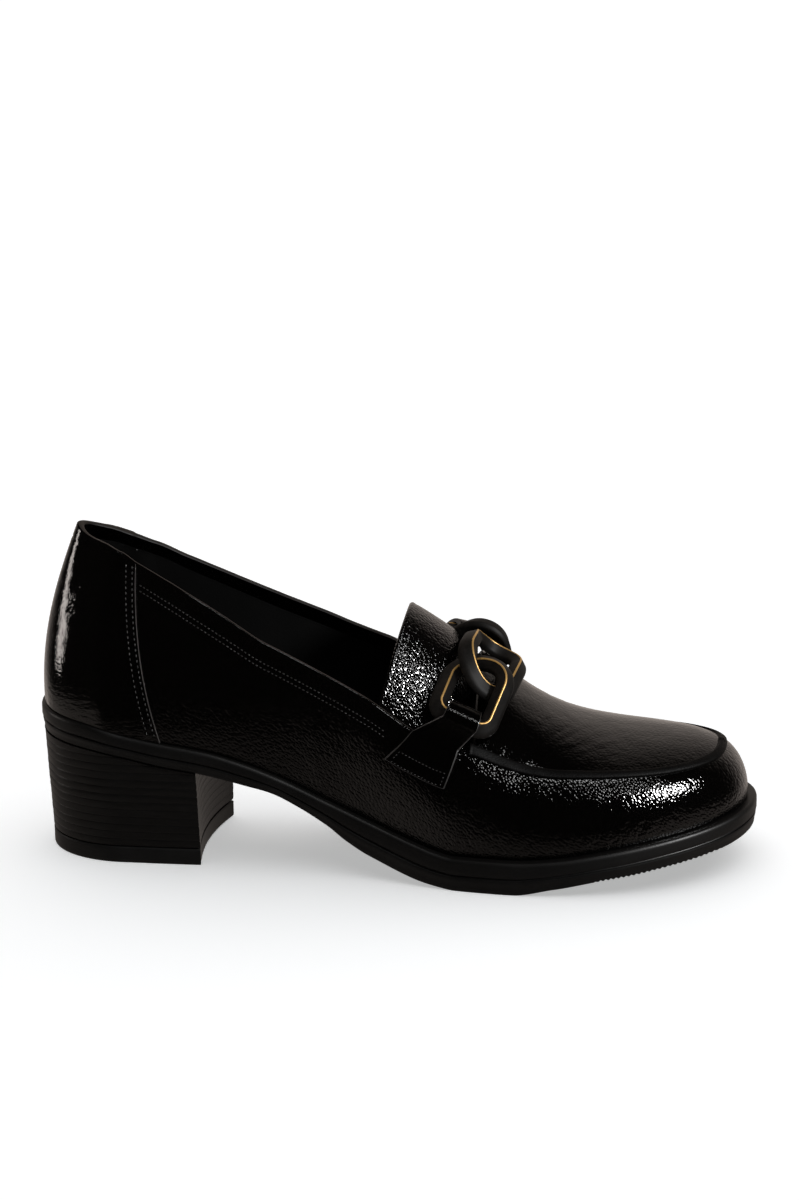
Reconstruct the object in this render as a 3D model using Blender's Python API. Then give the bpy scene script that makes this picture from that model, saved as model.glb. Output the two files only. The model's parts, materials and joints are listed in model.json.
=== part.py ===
"""Loafer pump: a right shoe with a block heel, an apron seam, a tongue, saddle straps and three linked rings.

The shoe is worked out on its last: X runs from the back of the heel to the toe, the outer (lateral) side is -Y,
the inner (medial) side is +Y, and the floor is Z = 0. Lengths are in millimetres until a mesh is made.
"""

import bisect
import math

import bmesh
import bpy
from mathutils import Vector

# Driving dimensions, mm
LENGTH = 252.0  # sole, back of the heel to the toe
BALL_WIDTH = 90.0  # sole at the ball
HEEL_WIDTH = 62.5  # sole at the heel seat
HEEL_RIM = 52.3  # height of the sole's edge at the back
BALL_RIM = 10.4  # height of the sole's edge at the ball
TOE_SPRING = 10.4  # rise of the sole's edge from the ball to the toe
SOLE_THICKNESS = 10.4  # sole at the ball
TOE_SWING = 4.0  # how far the toe's tip lies towards the inner side
WELT = 3.3  # ledge of the sole outside the upper
WELT_RISE = 1.4  # height of the upper's foot over the sole's edge
GROOVE_DEPTH = 0.9  # groove along the sole's side
GROOVE_HALF = 0.6  # half the height of that groove
GROOVE_PLACE = 0.54  # its height, as a share of the sole's thickness
LOWER_INSET = 0.7  # how far the side under the groove stands back
EDGE_ROUND = 0.75  # rounding of the ledge's and the insole's edges
COLLAR_RISE = 64.7  # back of the collar over the sole's edge
COLLAR_INSET = 17.7  # how far the collar leans in at the back
APRON_INSET = 11.3  # apron seam inside the sole's edge
INSTEP_RISE = 78.1  # top of the instep line over the ball's edge
TOE_BOX = 30.8  # end of the instep line over the ball's edge
WALL = 2.0  # upper with its lining
SWELL = 1.8  # how far the wall swells out over its foot
FULLNESS = 0.38  # reach of the wall's curve at each end, as a share of its height
SEAM_WIDTH = 3.0  # raised apron seam
SEAM_HEIGHT = 1.0
SEAM_SHOULDER = 0.9  # its height at its edges, as a share
SEAM_SLOPE = 0.6  # length of the slope up to it
COUNTER_STEP = 0.8  # how far the heel counter stands proud
COUNTER_TOP = 38.5  # counter's front edge at the collar
COUNTER_SWEEP = 9.0  # how much further forward it is at the sole
COUNTER_SPREAD = 34.0  # how far from it the sweep fades out
COUNTER_BEVEL = 0.35  # half the length of the step at its edge
INSOLE_THICKNESS = 3.0
THROAT = 156.0  # back edge of the apron
INSTEP_RUN = 84.0  # from there to the end of the instep line
TONGUE_REACH = 25.0  # free edge of the tongue behind the throat
TONGUE_LAP = 9.0  # tongue under the apron
TONGUE_DIP = 11.0  # where it starts to dip under the apron, behind the throat
TONGUE_DIP_RUN = 10.0  # length of that dip
TONGUE_SIDE_DROP = 2.0  # its sides below the wall's top line
TONGUE_THICKNESS = 2.0
TONGUE_SWEEP = 8.0  # how far the free edge runs back at its sides
HEEL_FRONT = 61.0  # breast of the heel
HEEL_HOLLOW = 3.0  # depth of the breast's curve
HEEL_SLANT = 1.5  # how far its inner edge lies in front, and its outer edge behind
HEEL_TAPER_SIDE = 5.6  # heel drawn in at the floor, on each side
HEEL_TAPER_BACK = 1.3
TIP_THICKNESS = 6.0
STRAP_THICKNESS = 1.5
STRAP_WIDTH = 12.5  # strap at the ring
STRAP_END = 10.6  # strap inside the ring
FLANGE_WIDTH = 20.5  # strap where it is sewn on
FLANGE_BACK = 19.5  # middle of its foot behind the throat
FLANGE_FOOT = 0.62  # its height, as a share of the wall's
FLANGE_TOP = 0.97  # where the strap leaves the wall, as such a share
FLANGE_TAPER = 0.6  # share of its narrowing that lies on the wall
STRAP_SWEEP = 7.0  # how far it leans forward over the wall
STRAP_LIFT = 1.5  # how far it stands off the wall's top
STRAP_WRAP = 215.0  # degrees, where its loop round the bar ends
STRAP_TAIL = 2.0
RING_WIDTH = 18.0  # between the middles of a ring's sides
RING_CORNER = 3.5
RING_BAND = 5.6  # width of its bar
RING_CREST = 2.8  # ridge over the bar's middle
RING_FOOT = 1.6  # underside below the bar's middle
RING_BEND = 0.5  # how much of the instep's own arch it follows, as a share
RING_CHAMFER = 0.6  # at the underside's edges
RING_SIDE = 0.5  # top of the bar's sides over its middle
RING_RIDGE = 0.4  # half the width of the ridge
GAP = 0.3  # between pieces that meet

# Stations round the sole, 0 to 3: a fan of planes round the heel, planes across the foot, a fan round the toe
HEEL_CENTRE = 32.0
TOE_CENTRE = 178.0
HEEL_PLANES = 9
TOE_PLANES = 14
CROSS_STEP = 6.0
HEEL_ROUND = 2.0  # exponent of the ellipse round the heel
TOE_ROUND = {-1: 2.0, 1: 2.15}  # and round the toe, lateral and medial

# Sole lines: x as a share of LENGTH, lift towards HEEL_RIM, lift by TOE_SPRING, thickness by SOLE_THICKNESS
SOLE_LINES = (
    (0.000, 1.000, 0.000, 0.77),
    (0.071, 0.976, 0.000, 0.74),
    (0.143, 0.881, 0.000, 0.64),
    (0.187, 0.831, 0.000, 0.67),
    (0.252, 0.764, 0.000, 0.67),
    (0.302, 0.678, 0.000, 0.62),
    (0.345, 0.580, 0.000, 0.52),
    (0.377, 0.494, 0.000, 0.57),
    (0.417, 0.384, 0.000, 0.71),
    (0.444, 0.314, 0.000, 0.93),
    (0.476, 0.234, 0.000, 1.06),
    (0.536, 0.093, 0.000, 1.10),
    (0.575, 0.020, 0.000, 1.02),
    (0.595, 0.000, 0.000, 1.00),
    (0.675, 0.000, 0.000, 1.00),
    (0.730, 0.000, 0.096, 0.86),
    (0.790, 0.000, 0.300, 0.80),
    (0.835, 0.000, 0.460, 0.82),
    (0.877, 0.000, 0.606, 0.81),
    (0.956, 0.000, 0.856, 0.81),
    (1.000, 0.000, 1.000, 0.80),
)

# Outline across the foot: x as a share of LENGTH, lateral and medial half width by HEEL_WIDTH, then by BALL_WIDTH
OUTLINE = (
    (0.127, 0.496, 0.496, 0.000, 0.000),
    (0.187, 0.502, 0.496, 0.000, 0.000),
    (0.252, 0.504, 0.483, 0.000, 0.000),
    (0.302, 0.504, 0.469, 0.000, 0.000),
    (0.357, 0.490, 0.450, 0.010, 0.005),
    (0.417, 0.440, 0.400, 0.058, 0.047),
    (0.476, 0.280, 0.260, 0.194, 0.175),
    (0.536, 0.130, 0.110, 0.334, 0.324),
    (0.575, 0.040, 0.040, 0.422, 0.409),
    (0.627, 0.000, 0.000, 0.475, 0.478),
    (0.679, 0.000, 0.000, 0.489, 0.502),
    (0.706, 0.000, 0.000, 0.490, 0.508),
)

# Upper's top line on each side: station, share of COLLAR_INSET, share of APRON_INSET, share of COLLAR_RISE,
# share of SWELL and the slope at the top (degrees)
TOP_LATERAL = (
    (0.00, 1.000, 0.000, 1.000, 0.444, 64.0),
    (0.50, 1.150, 0.000, 0.952, 0.667, 66.0),
    (1.00, 1.050, 0.000, 0.956, 0.889, 70.0),
    (1.05, 0.875, 0.000, 0.936, 0.944, 72.0),
    (1.13, 0.665, 0.000, 0.882, 1.000, 74.0),
    (1.19, 0.520, 0.000, 0.834, 1.000, 76.0),
    (1.26, 0.420, 0.000, 0.784, 1.000, 77.0),
    (1.36, 0.260, 0.045, 0.740, 1.000, 78.0),
    (1.48, 0.120, 0.150, 0.728, 1.000, 78.0),
    (1.60, 0.000, 0.330, 0.706, 1.000, 74.0),
    (1.69, 0.000, 0.440, 0.658, 1.000, 68.0),
    (1.76, 0.000, 0.600, 0.622, 1.000, 63.0),
    (1.84, 0.000, 0.800, 0.587, 1.000, 56.0),
    (1.92, 0.000, 0.950, 0.518, 1.000, 48.0),
    (2.00, 0.000, 1.000, 0.466, 0.944, 42.0),
    (2.20, 0.000, 1.015, 0.425, 0.833, 38.0),
    (2.40, 0.000, 1.010, 0.384, 0.667, 35.0),
    (2.65, 0.000, 0.970, 0.334, 0.500, 30.0),
    (2.85, 0.000, 0.990, 0.308, 0.389, 27.0),
    (3.00, 0.000, 1.080, 0.305, 0.333, 25.0),
)
TOP_MEDIAL = (
    (0.00, 1.000, 0.000, 1.000, 0.444, 64.0),
    (0.50, 1.150, 0.000, 0.952, 0.667, 66.0),
    (1.00, 1.050, 0.000, 0.956, 0.889, 70.0),
    (1.05, 0.865, 0.000, 0.938, 0.944, 72.0),
    (1.13, 0.645, 0.000, 0.866, 1.000, 74.0),
    (1.19, 0.490, 0.000, 0.818, 1.000, 76.0),
    (1.26, 0.350, 0.000, 0.776, 1.111, 78.0),
    (1.36, 0.175, 0.000, 0.743, 1.222, 80.0),
    (1.48, 0.060, 0.060, 0.748, 1.222, 80.0),
    (1.60, 0.000, 0.210, 0.748, 1.111, 75.0),
    (1.69, 0.000, 0.380, 0.720, 1.000, 69.0),
    (1.76, 0.000, 0.580, 0.672, 1.000, 64.0),
    (1.84, 0.000, 0.830, 0.610, 1.000, 57.0),
    (1.92, 0.000, 0.980, 0.528, 1.000, 48.0),
    (2.00, 0.000, 1.000, 0.468, 0.944, 42.0),
    (2.20, 0.000, 1.010, 0.412, 0.833, 38.0),
    (2.40, 0.000, 1.000, 0.360, 0.667, 35.0),
    (2.65, 0.000, 0.980, 0.312, 0.500, 30.0),
    (2.85, 0.000, 1.010, 0.298, 0.389, 27.0),
    (3.00, 0.000, 1.080, 0.305, 0.333, 25.0),
)

# Instep line down the middle of tongue and apron: x from THROAT as a share of INSTEP_RUN, share of the fall
INSTEP_LINE = (
    (-0.3571, -0.070),
    (-0.2851, 0.000),
    (-0.1472, 0.161),
    (-0.0001, 0.359),
    (0.1649, 0.598),
    (0.2429, 0.692),
    (0.3208, 0.763),
    (0.4049, 0.818),
    (0.4889, 0.852),
    (0.5818, 0.878),
    (0.7258, 0.903),
    (0.8578, 0.932),
    (0.9329, 0.962),
    (0.9989, 1.000),
)
INSTEP_ROUND = 2.1  # exponent of the arch across instep and apron

# Rings: name, start and end of the middle line (x from THROAT by RING_WIDTH, share of the half width inside the seam,
# height over the instep by RING_WIDTH), tilt to the instep (degrees), lift of the toe side at each end and arch,
# both by RING_WIDTH, and whether oval
RINGS = (
    ("ring_lateral", (-0.2107, -1.007, 0.5861), (0.1393, -0.502, 0.5139), -7.12, -0.0222, 0.2500, -0.0233, False),
    ("ring_middle", (0.0693, -0.700, 0.4944), (0.2513, 0.141, 0.1722), -11.21, -0.2500, -0.0222, 0.1422, True),
    ("ring_medial", (-0.4907, 0.938, 0.7620), (0.2793, 0.296, 0.5080), -7.61, 0.1611, -0.1667, -0.2656, False),
)
RING_SECTION = (
    (-RING_BAND / 2, RING_CHAMFER - RING_FOOT),
    (RING_CHAMFER - RING_BAND / 2, -RING_FOOT),
    (RING_BAND / 2 - RING_CHAMFER, -RING_FOOT),
    (RING_BAND / 2, RING_CHAMFER - RING_FOOT),
    (RING_BAND / 2, RING_SIDE),
    (RING_RIDGE, RING_CREST),
    (-RING_RIDGE, RING_CREST),
    (-RING_BAND / 2, RING_SIDE),
)


def ease(t):
    t = min(max(t, 0.0), 1.0)
    return t * t * (3 - 2 * t)


def mix(a, b, t):
    return a + (b - a) * t


def slopes(xs, ys):
    """Slopes of a smooth curve through the points that never swings past them, and is level at both ends."""
    steps = [(b - a) / (q - p) for a, b, p, q in zip(ys, ys[1:], xs, xs[1:])]
    inner = [0.0 if a * b <= 0 else 2 * a * b / (a + b) for a, b in zip(steps, steps[1:])]
    return [0.0] + inner + [0.0]


class Curve:
    """A smooth function given by rows of a table, level at its ends unless `open_ends` is set."""

    def __init__(self, xs, ys, open_ends=False):
        self.xs = list(xs)
        self.ys = list(ys)
        self.ms = slopes(self.xs, self.ys)
        if open_ends:
            self.ms[0] = (self.ys[1] - self.ys[0]) / (self.xs[1] - self.xs[0])
            self.ms[-1] = (self.ys[-1] - self.ys[-2]) / (self.xs[-1] - self.xs[-2])

    def __call__(self, x):
        x = min(max(x, self.xs[0]), self.xs[-1])
        i = min(max(bisect.bisect_right(self.xs, x) - 1, 0), len(self.xs) - 2)
        h = self.xs[i + 1] - self.xs[i]
        t = (x - self.xs[i]) / h
        a = (1 + 2 * t) * (1 - t) ** 2
        b = t * (1 - t) ** 2
        c = t * t * (3 - 2 * t)
        d = t * t * (t - 1)
        return a * self.ys[i] + b * h * self.ms[i] + c * self.ys[i + 1] + d * h * self.ms[i + 1]


def column(rows, number, scale=1.0, open_ends=False):
    return Curve([row[0] * scale for row in rows], [row[number] for row in rows], open_ends)


HEEL_LIFT = column(SOLE_LINES, 1, LENGTH)
TOE_LIFT = column(SOLE_LINES, 2, LENGTH, open_ends=True)
THICKNESS = column(SOLE_LINES, 3, LENGTH)
HALF_WIDTH = {
    side: Curve(
        [row[0] * LENGTH for row in OUTLINE],
        [row[col] * HEEL_WIDTH + row[col + 2] * BALL_WIDTH for row in OUTLINE],
    )
    for side, col in ((-1, 1), (1, 2))
}
TOP = {
    side: {
        "inset": Curve([r[0] for r in rows], [r[1] * COLLAR_INSET + r[2] * APRON_INSET for r in rows]),
        "rise": Curve([r[0] for r in rows], [r[3] * COLLAR_RISE for r in rows]),
        "swell": Curve([r[0] for r in rows], [r[4] * SWELL for r in rows]),
        "slope": column(rows, 5),
    }
    for side, rows in ((-1, TOP_LATERAL), (1, TOP_MEDIAL))
}
INSTEP_FALL = Curve([THROAT + row[0] * INSTEP_RUN for row in INSTEP_LINE], [row[1] for row in INSTEP_LINE], True)


def sole_top(x):
    """Height of the sole's upper edge."""
    return BALL_RIM + (HEEL_RIM - BALL_RIM) * HEEL_LIFT(x) + TOE_SPRING * TOE_LIFT(x)


def sole_bottom(x):
    return sole_top(x) - SOLE_THICKNESS * THICKNESS(x)


def spine_y(x):
    """The middle line of the last swings to the toe's tip."""
    return TOE_SWING * ease((x - HEEL_CENTRE) / (TOE_CENTRE - HEEL_CENTRE))


def station_x(station):
    return mix(HEEL_CENTRE, TOE_CENTRE, min(max(station - 1, 0.0), 1.0))


def x_station(x):
    return 1 + (x - HEEL_CENTRE) / (TOE_CENTRE - HEEL_CENTRE)


def plane(side, station):
    """Spine point, outward direction and distance to the sole's edge, of one plane of the fan."""
    x = station_x(station)
    y = spine_y(x)
    reach = HALF_WIDTH[side](x) - side * y
    if station < 1:
        angle = math.radians(90 * station)
        long, power, way = HEEL_CENTRE, HEEL_ROUND, Vector((-math.cos(angle), side * math.sin(angle), 0))
    elif station > 2:
        angle = math.radians(90 * (3 - station))
        long, power, way = LENGTH - TOE_CENTRE, TOE_ROUND[side], Vector((math.cos(angle), side * math.sin(angle), 0))
    else:
        return Vector((x, y, 0)), Vector((0, side, 0)), reach
    reach = ((abs(way.x) / long) ** power + (abs(way.y) / reach) ** power) ** (-1 / power)
    return Vector((x, y, 0)), way, reach


def welt_width(station):
    """The ledge is narrower round the heel and waist."""
    return WELT * mix(0.6, 1.0, ease(station - 1))


def feather(side, station):
    """Foot of the upper: the plane, its distance from the spine and its height."""
    spine, way, reach = plane(side, station)
    edge = spine + way * reach
    return spine, way, reach - welt_width(station), sole_top(edge.x) + WELT_RISE


def wall_controls(side, station):
    """Bezier points of the side wall in its plane, as distance from the spine and height."""
    spine, way, foot, low = feather(side, station)
    top = TOP[side]
    reach = foot + welt_width(station) - top["inset"](station)
    high = low - WELT_RISE + top["rise"](station)
    handle = FULLNESS * (high - low)
    slope = math.radians(top["slope"](station))
    return spine, way, (
        (foot, low + GAP),
        (foot + top["swell"](station), low + handle),
        (reach + math.cos(slope) * handle, high - math.sin(slope) * handle),
        (reach, high),
    )


def wall(side, station, s):
    """Point and outward direction on the side wall, s = 0 at the sole and 1 at the top line."""
    spine, way, (a, b, c, d) = wall_controls(side, station)
    t = 1 - s
    r, z = (t**3 * p + 3 * t * t * s * q + 3 * t * s * s * u + s**3 * v for p, q, u, v in zip(a, b, c, d))
    dr, dz = (t * t * (q - p) + 2 * t * s * (u - q) + s * s * (v - u) for p, q, u, v in zip(a, b, c, d))
    length = math.hypot(dr, dz)
    point = spine + way * r + Vector((0, 0, z))
    return point, way * (dz / length) - Vector((0, 0, dr / length))


def instep(x):
    return BALL_RIM + INSTEP_RISE - (INSTEP_RISE - TOE_BOX) * INSTEP_FALL(x)


def seam_tables(side):
    """Half width and height of the top line as functions of x, from the throat to the toe."""
    stations = [1.5 + 1.5 * i / 160 for i in range(161)]
    points = [wall(side, station, 1.0)[0] for station in stations]
    xs = [p.x + i * 1e-6 for i, p in enumerate(points)]
    return xs, [abs(p.y - spine_y(p.x)) for p in points], [p.z for p in points]


SEAM = {side: seam_tables(side) for side in (-1, 1)}


def linear(xs, ys, x):
    x = min(max(x, xs[0]), xs[-1])
    i = min(max(bisect.bisect_right(xs, x) - 1, 0), len(xs) - 2)
    return mix(ys[i], ys[i + 1], (x - xs[i]) / (xs[i + 1] - xs[i]))


def apron_height(side, x, y):
    """Height of the crowned surface inside the apron seam, which the tongue follows too."""
    xs, widths, heights = SEAM[side]
    share = min(abs(y - spine_y(x)) / max(linear(xs, widths, x), 1e-3), 1.0)
    edge = linear(xs, heights, x)
    return edge + (instep(x) - edge) * (1 - share**INSTEP_ROUND)


def apron(side, station, q):
    """Point and upward direction on the apron, q = 0 at the seam and 1 on the spine."""
    edge = wall(side, station, 1.0)[0]
    spine = plane(side, station)[0]
    x, y = mix(edge.x, spine.x, q), mix(edge.y, spine.y, q)
    d = 0.5
    z = apron_height(side, x, y)
    inward = (spine - Vector((edge.x, edge.y, 0))).normalized()
    rise = (apron_height(side, x + inward.x * d, y + inward.y * d) - z) / d if q < 1 else 0.0
    ahead = (apron_height(side, x + d, y) - apron_height(side, x - d, y)) / (2 * d)
    normal = Vector((-rise * inward.x - ahead * abs(inward.y), -rise * inward.y, 1)).normalized()
    return Vector((x, y, z)), normal


def counter_shift(x, s):
    """The planes lean forward at the sole near the counter, so that its front edge follows one of them."""
    near = max(0.0, 1 - abs(x - COUNTER_TOP) / COUNTER_SPREAD)
    return COUNTER_SWEEP * ease(near) * (1 - s) ** 2


def wall_row(side, station, s, height):
    """Wall point with the relief of the counter and the seam."""
    shifted = station
    if 1 <= station <= 2:
        shifted = x_station(station_x(station) + counter_shift(station_x(station), s))
    point, normal = wall(side, shifted, s)
    behind = station < x_station(COUNTER_TOP)
    return point + normal * (height + (COUNTER_STEP if behind else 0.0)), point, normal


WALL_SHARES = (0.0, 0.07, 0.16, 0.26, 0.37, 0.48, 0.59, 0.70, 0.80, 0.88)
APRON_SHARES = (0.18, 0.34, 0.52, 0.72)


def stations():
    """Stations on one side: round the heel, across the foot with a plane each side of the counter's edge, and the toe."""
    heel = [i / HEEL_PLANES for i in range(HEEL_PLANES)]
    fixed = [COUNTER_TOP - COUNTER_BEVEL, COUNTER_TOP + COUNTER_BEVEL, THROAT]
    count = round((TOE_CENTRE - HEEL_CENTRE) / CROSS_STEP)
    cross = [mix(HEEL_CENTRE, TOE_CENTRE, i / count) for i in range(count + 1)]
    cross = [x for x in cross if min(abs(x - edge) for edge in fixed) > 0.35 * CROSS_STEP]
    cross = sorted(cross + fixed)
    toe = [2 + i / TOE_PLANES for i in range(1, TOE_PLANES + 1)]
    return heel + [x_station(x) for x in cross] + toe


def ring_columns():
    """Planes from the heel round the lateral side to the toe and back along the medial side."""
    line = stations()
    return [(-1, station) for station in line] + [(1, station) for station in reversed(line[1:-1])]


class Builder:
    """Collects points and faces, with points at one place made once."""

    def __init__(self):
        self.points = []
        self.faces = []
        self.index = {}

    def add(self, point):
        key = tuple(round(v, 4) for v in point)
        if key not in self.index:
            self.index[key] = len(self.points)
            self.points.append(tuple(point))
        return self.index[key]

    def face(self, corners):
        kept = [c for i, c in enumerate(corners) if c != corners[i - 1]]
        if len(set(kept)) == len(kept) and len(kept) > 2:
            self.faces.append(kept)

    def strip(self, first, second):
        for (a, b), (c, d) in zip(zip(first, first[1:]), zip(second, second[1:])):
            self.face([a, b, d, c])


def material(name, colour, roughness, metallic=0.0):
    made = bpy.data.materials.new(name)
    made.use_nodes = True
    shader = made.node_tree.nodes["Principled BSDF"]
    shader.inputs["Base Color"].default_value = (*colour, 1)
    shader.inputs["Roughness"].default_value = roughness
    shader.inputs["Metallic"].default_value = metallic
    return made


def finish(name, points, faces, finish_material, collection, parent):
    """Makes an object in metres from points in millimetres, with its faces pointing out."""
    mesh = bpy.data.meshes.new(name)
    mesh.from_pydata([Vector(p) / 1000 for p in points], [], faces)
    work = bmesh.new()
    work.from_mesh(mesh)
    bmesh.ops.recalc_face_normals(work, faces=work.faces)
    work.to_mesh(mesh)
    work.free()
    mesh.materials.append(finish_material)
    mesh.shade_smooth()
    mesh.set_sharp_from_angle(angle=math.radians(40))
    made = bpy.data.objects.new(name, mesh)
    collection.objects.link(made)
    made.parent = parent
    return made


def shell(outer, inner, faces):
    """Closes a sheet into a wall: the sheet, its inner side and a strip along each free edge."""
    count = len(outer)
    edges = {}
    for face in faces:
        for a, b in zip(face, face[1:] + face[:1]):
            edges[(a, b)] = edges.get((a, b), 0) + 1
    free = [(a, b) for a, b in edges if (b, a) not in edges]
    walls = [list(face) for face in faces]
    walls += [[corner + count for corner in reversed(face)] for face in faces]
    walls += [[b, a, a + count, b + count] for a, b in free]
    return list(outer) + list(inner), walls


def fan_solid(section):
    """A solid whose section in each plane runs from the spine's top, out round the edge, to the spine's bottom."""
    made = Builder()
    rows = [[made.add(point) for point in section(side, station)] for side, station in ring_columns()]
    for first, second in zip(rows, rows[1:] + rows[:1]):
        made.strip(first, second)
    return made


def sole_section(side, station):
    spine, way, reach = plane(side, station)
    ledge = welt_width(station)

    def at(distance, height):
        point = spine + way * max(distance, 0.0)
        return Vector((point.x, point.y, height(point.x)))

    def share(part):
        """Heights between the sole's underside and its upper edge."""
        return lambda x: mix(sole_bottom(x), sole_top(x), part)

    def raised(x):
        return sole_top(x) + WELT_RISE

    half = GROOVE_HALF / SOLE_THICKNESS
    return [
        *(at(reach * part, raised) for part in (0.0, 0.3, 0.6)),
        at(reach - ledge, raised),
        at(reach - EDGE_ROUND, lambda x: sole_top(x) + WELT_RISE / 2),
        at(reach, sole_top),
        at(reach, share(GROOVE_PLACE + half)),
        at(reach - GROOVE_DEPTH, share(GROOVE_PLACE)),
        at(reach - LOWER_INSET / 2, share(GROOVE_PLACE - half)),
        at(reach - LOWER_INSET, share(0.1)),
        at(reach - LOWER_INSET - EDGE_ROUND, share(0.0)),
        *(at(reach * part, sole_bottom) for part in (0.8, 0.6, 0.4, 0.2, 0.0)),
    ]


def make_outsole(look, collection, parent):
    made = fan_solid(sole_section)
    return finish("outsole", made.points, made.faces, look, collection, parent)


def make_insole(look, collection, parent):
    def section(side, station):
        spine, way, foot, _ = feather(side, station)
        reach = foot - WALL - GAP

        def at(distance, lift):
            point = spine + way * distance
            return Vector((point.x, point.y, sole_top(point.x) + WELT_RISE + lift))

        return [
            at(0, INSOLE_THICKNESS),
            at(reach * 0.5, INSOLE_THICKNESS),
            at(reach - EDGE_ROUND, INSOLE_THICKNESS),
            at(reach, INSOLE_THICKNESS - EDGE_ROUND),
            at(reach, GAP),
            at(reach * 0.5, GAP),
            at(0, GAP),
        ]

    made = fan_solid(section)
    return finish("insole", made.points, made.faces, look, collection, parent)


def make_upper(look, collection, parent):
    """Outer and inner sheets from the same planes: the wall all round, and the apron in front of the throat."""
    outer = []
    inner = []
    spots = {}
    faces = []

    def add(point, inside):
        key = tuple(round(v, 3) for v in point)
        if key not in spots:
            spots[key] = len(outer)
            outer.append(point)
            inner.append(inside)
        return spots[key]

    throat = x_station(THROAT) - 1e-6
    columns = ring_columns()
    rows = []
    for side, station in columns:
        has_apron = station >= throat
        line = []
        for s in WALL_SHARES:
            point, base, normal = wall_row(side, station, s, 0.0)
            line.append(add(point, base - normal * WALL))
        handle = 3 * FULLNESS * (TOP[side]["rise"](station) - WELT_RISE)
        reach = 1 - SEAM_WIDTH / 2 / handle
        foot = reach - SEAM_SLOPE / handle
        for s, height in ((foot, 0.0), (reach, SEAM_HEIGHT * SEAM_SHOULDER), (1.0, SEAM_HEIGHT)):
            point, base, normal = wall_row(side, station, s, height if has_apron else 0.0)
            if s == 1.0 and has_apron:
                normal = (normal + apron(side, station, 0.0)[1]).normalized()
                point = base + normal * height
            line.append(add(point, base - normal * WALL))
        if has_apron:
            edge = wall(side, station, 1.0)[0]
            spine = plane(side, station)[0]
            across = math.hypot(edge.x - spine.x, edge.y - spine.y)
            near = SEAM_WIDTH / 2 / across
            for q, height in ((near, SEAM_HEIGHT * SEAM_SHOULDER), (near + SEAM_SLOPE / across, 0.0)):
                point, normal = apron(side, station, q)
                line.append(add(point + normal * height, point - normal * WALL))
            for q in APRON_SHARES:
                point, normal = apron(side, station, q)
                line.append(add(point, point - normal * WALL))
            x, y = spine.x, spine.y
            top = instep(x)
            line.append(add(Vector((x, y, top)), Vector((x, y, top - WALL * 1.1))))
        rows.append(line)
    rows.append(rows[0])
    for first, second in zip(rows, rows[1:]):
        count = min(len(first), len(second))
        for k in range(count - 1):
            corners = [first[k], first[k + 1], second[k + 1], second[k]]
            kept = [c for i, c in enumerate(corners) if c != corners[i - 1]]
            if len(set(kept)) > 2:
                faces.append(kept)
    points, walls = shell(outer, inner, faces)
    return finish("upper", points, walls, look, collection, parent)


def tongue_surface(x, share):
    """Tongue's outer side: the instep's arch, drawn in to pass inside the wall and under the apron."""
    side = -1 if share < 0 else 1
    xs, widths, heights = SEAM[side]
    width = linear(xs, widths, x) - WALL - 2 * GAP
    arch = min(abs(share), 1.0)
    edge = linear(xs, heights, x) - TONGUE_SIDE_DROP
    under = (WALL + 3 * GAP) * ease((x - THROAT + TONGUE_DIP) / TONGUE_DIP_RUN)
    z = edge + (instep(x) - edge) * (1 - arch**INSTEP_ROUND) - under
    tail = max(abs(share) - 1.0, 0.0) * width
    return Vector((x, spine_y(x) + math.copysign(width * arch, share), z - tail))


def make_tongue(look, collection, parent):
    """A curved flap with a straight cut across its free end."""
    end = THROAT + TONGUE_LAP
    shares = (-1.12, -1.0, -0.9, -0.78, -0.64, -0.48, -0.3, -0.1, 0.1, 0.3, 0.48, 0.64, 0.78, 0.9, 1.0, 1.12)
    lengths = (0.0, 0.08, 0.2, 0.34, 0.48, 0.6, 0.7, 0.8, 0.9, 1.0)
    outer = []
    inner = []
    for along in lengths:
        for share in shares:
            start = THROAT - TONGUE_REACH - TONGUE_SWEEP * min(abs(share), 1.0) ** 2
            x = mix(start, end, along)
            point = tongue_surface(x, share)
            d = 0.01
            across = tongue_surface(x, share + d) - tongue_surface(x, share - d)
            ahead = tongue_surface(x + 0.5, share) - tongue_surface(x - 0.5, share)
            normal = ahead.cross(across).normalized()
            outer.append(point)
            inner.append(point - normal * TONGUE_THICKNESS)
    wide = len(shares)
    faces = [
        [i * wide + j, i * wide + j + 1, (i + 1) * wide + j + 1, (i + 1) * wide + j]
        for i in range(len(lengths) - 1)
        for j in range(wide - 1)
    ]
    points, walls = shell(outer, inner, faces)
    return finish("tongue", points, walls, look, collection, parent)


def heel_point(side, station, part, drop):
    """Plan point of the heel: part = 1 on its edge and 0 on the spine; drop = 0 at the sole and 1 at the floor."""
    spine, way, reach = plane(side, station)
    edge = way * reach * part
    long = 1 - (LOWER_INSET + HEEL_TAPER_BACK * drop) / HEEL_CENTRE
    wide = 1 - (LOWER_INSET + HEEL_TAPER_SIDE * drop) / (HEEL_WIDTH / 2)
    point = Vector((spine.x + edge.x * long, spine.y + edge.y * wide, 0))
    run = max(0.0, (point.x - HEEL_CENTRE) / (HEEL_FRONT - HEEL_CENTRE))
    slant = HEEL_SLANT * run * side * part
    return Vector((point.x - HEEL_HOLLOW * run * (1 - part * part) + slant, point.y, 0))


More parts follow.
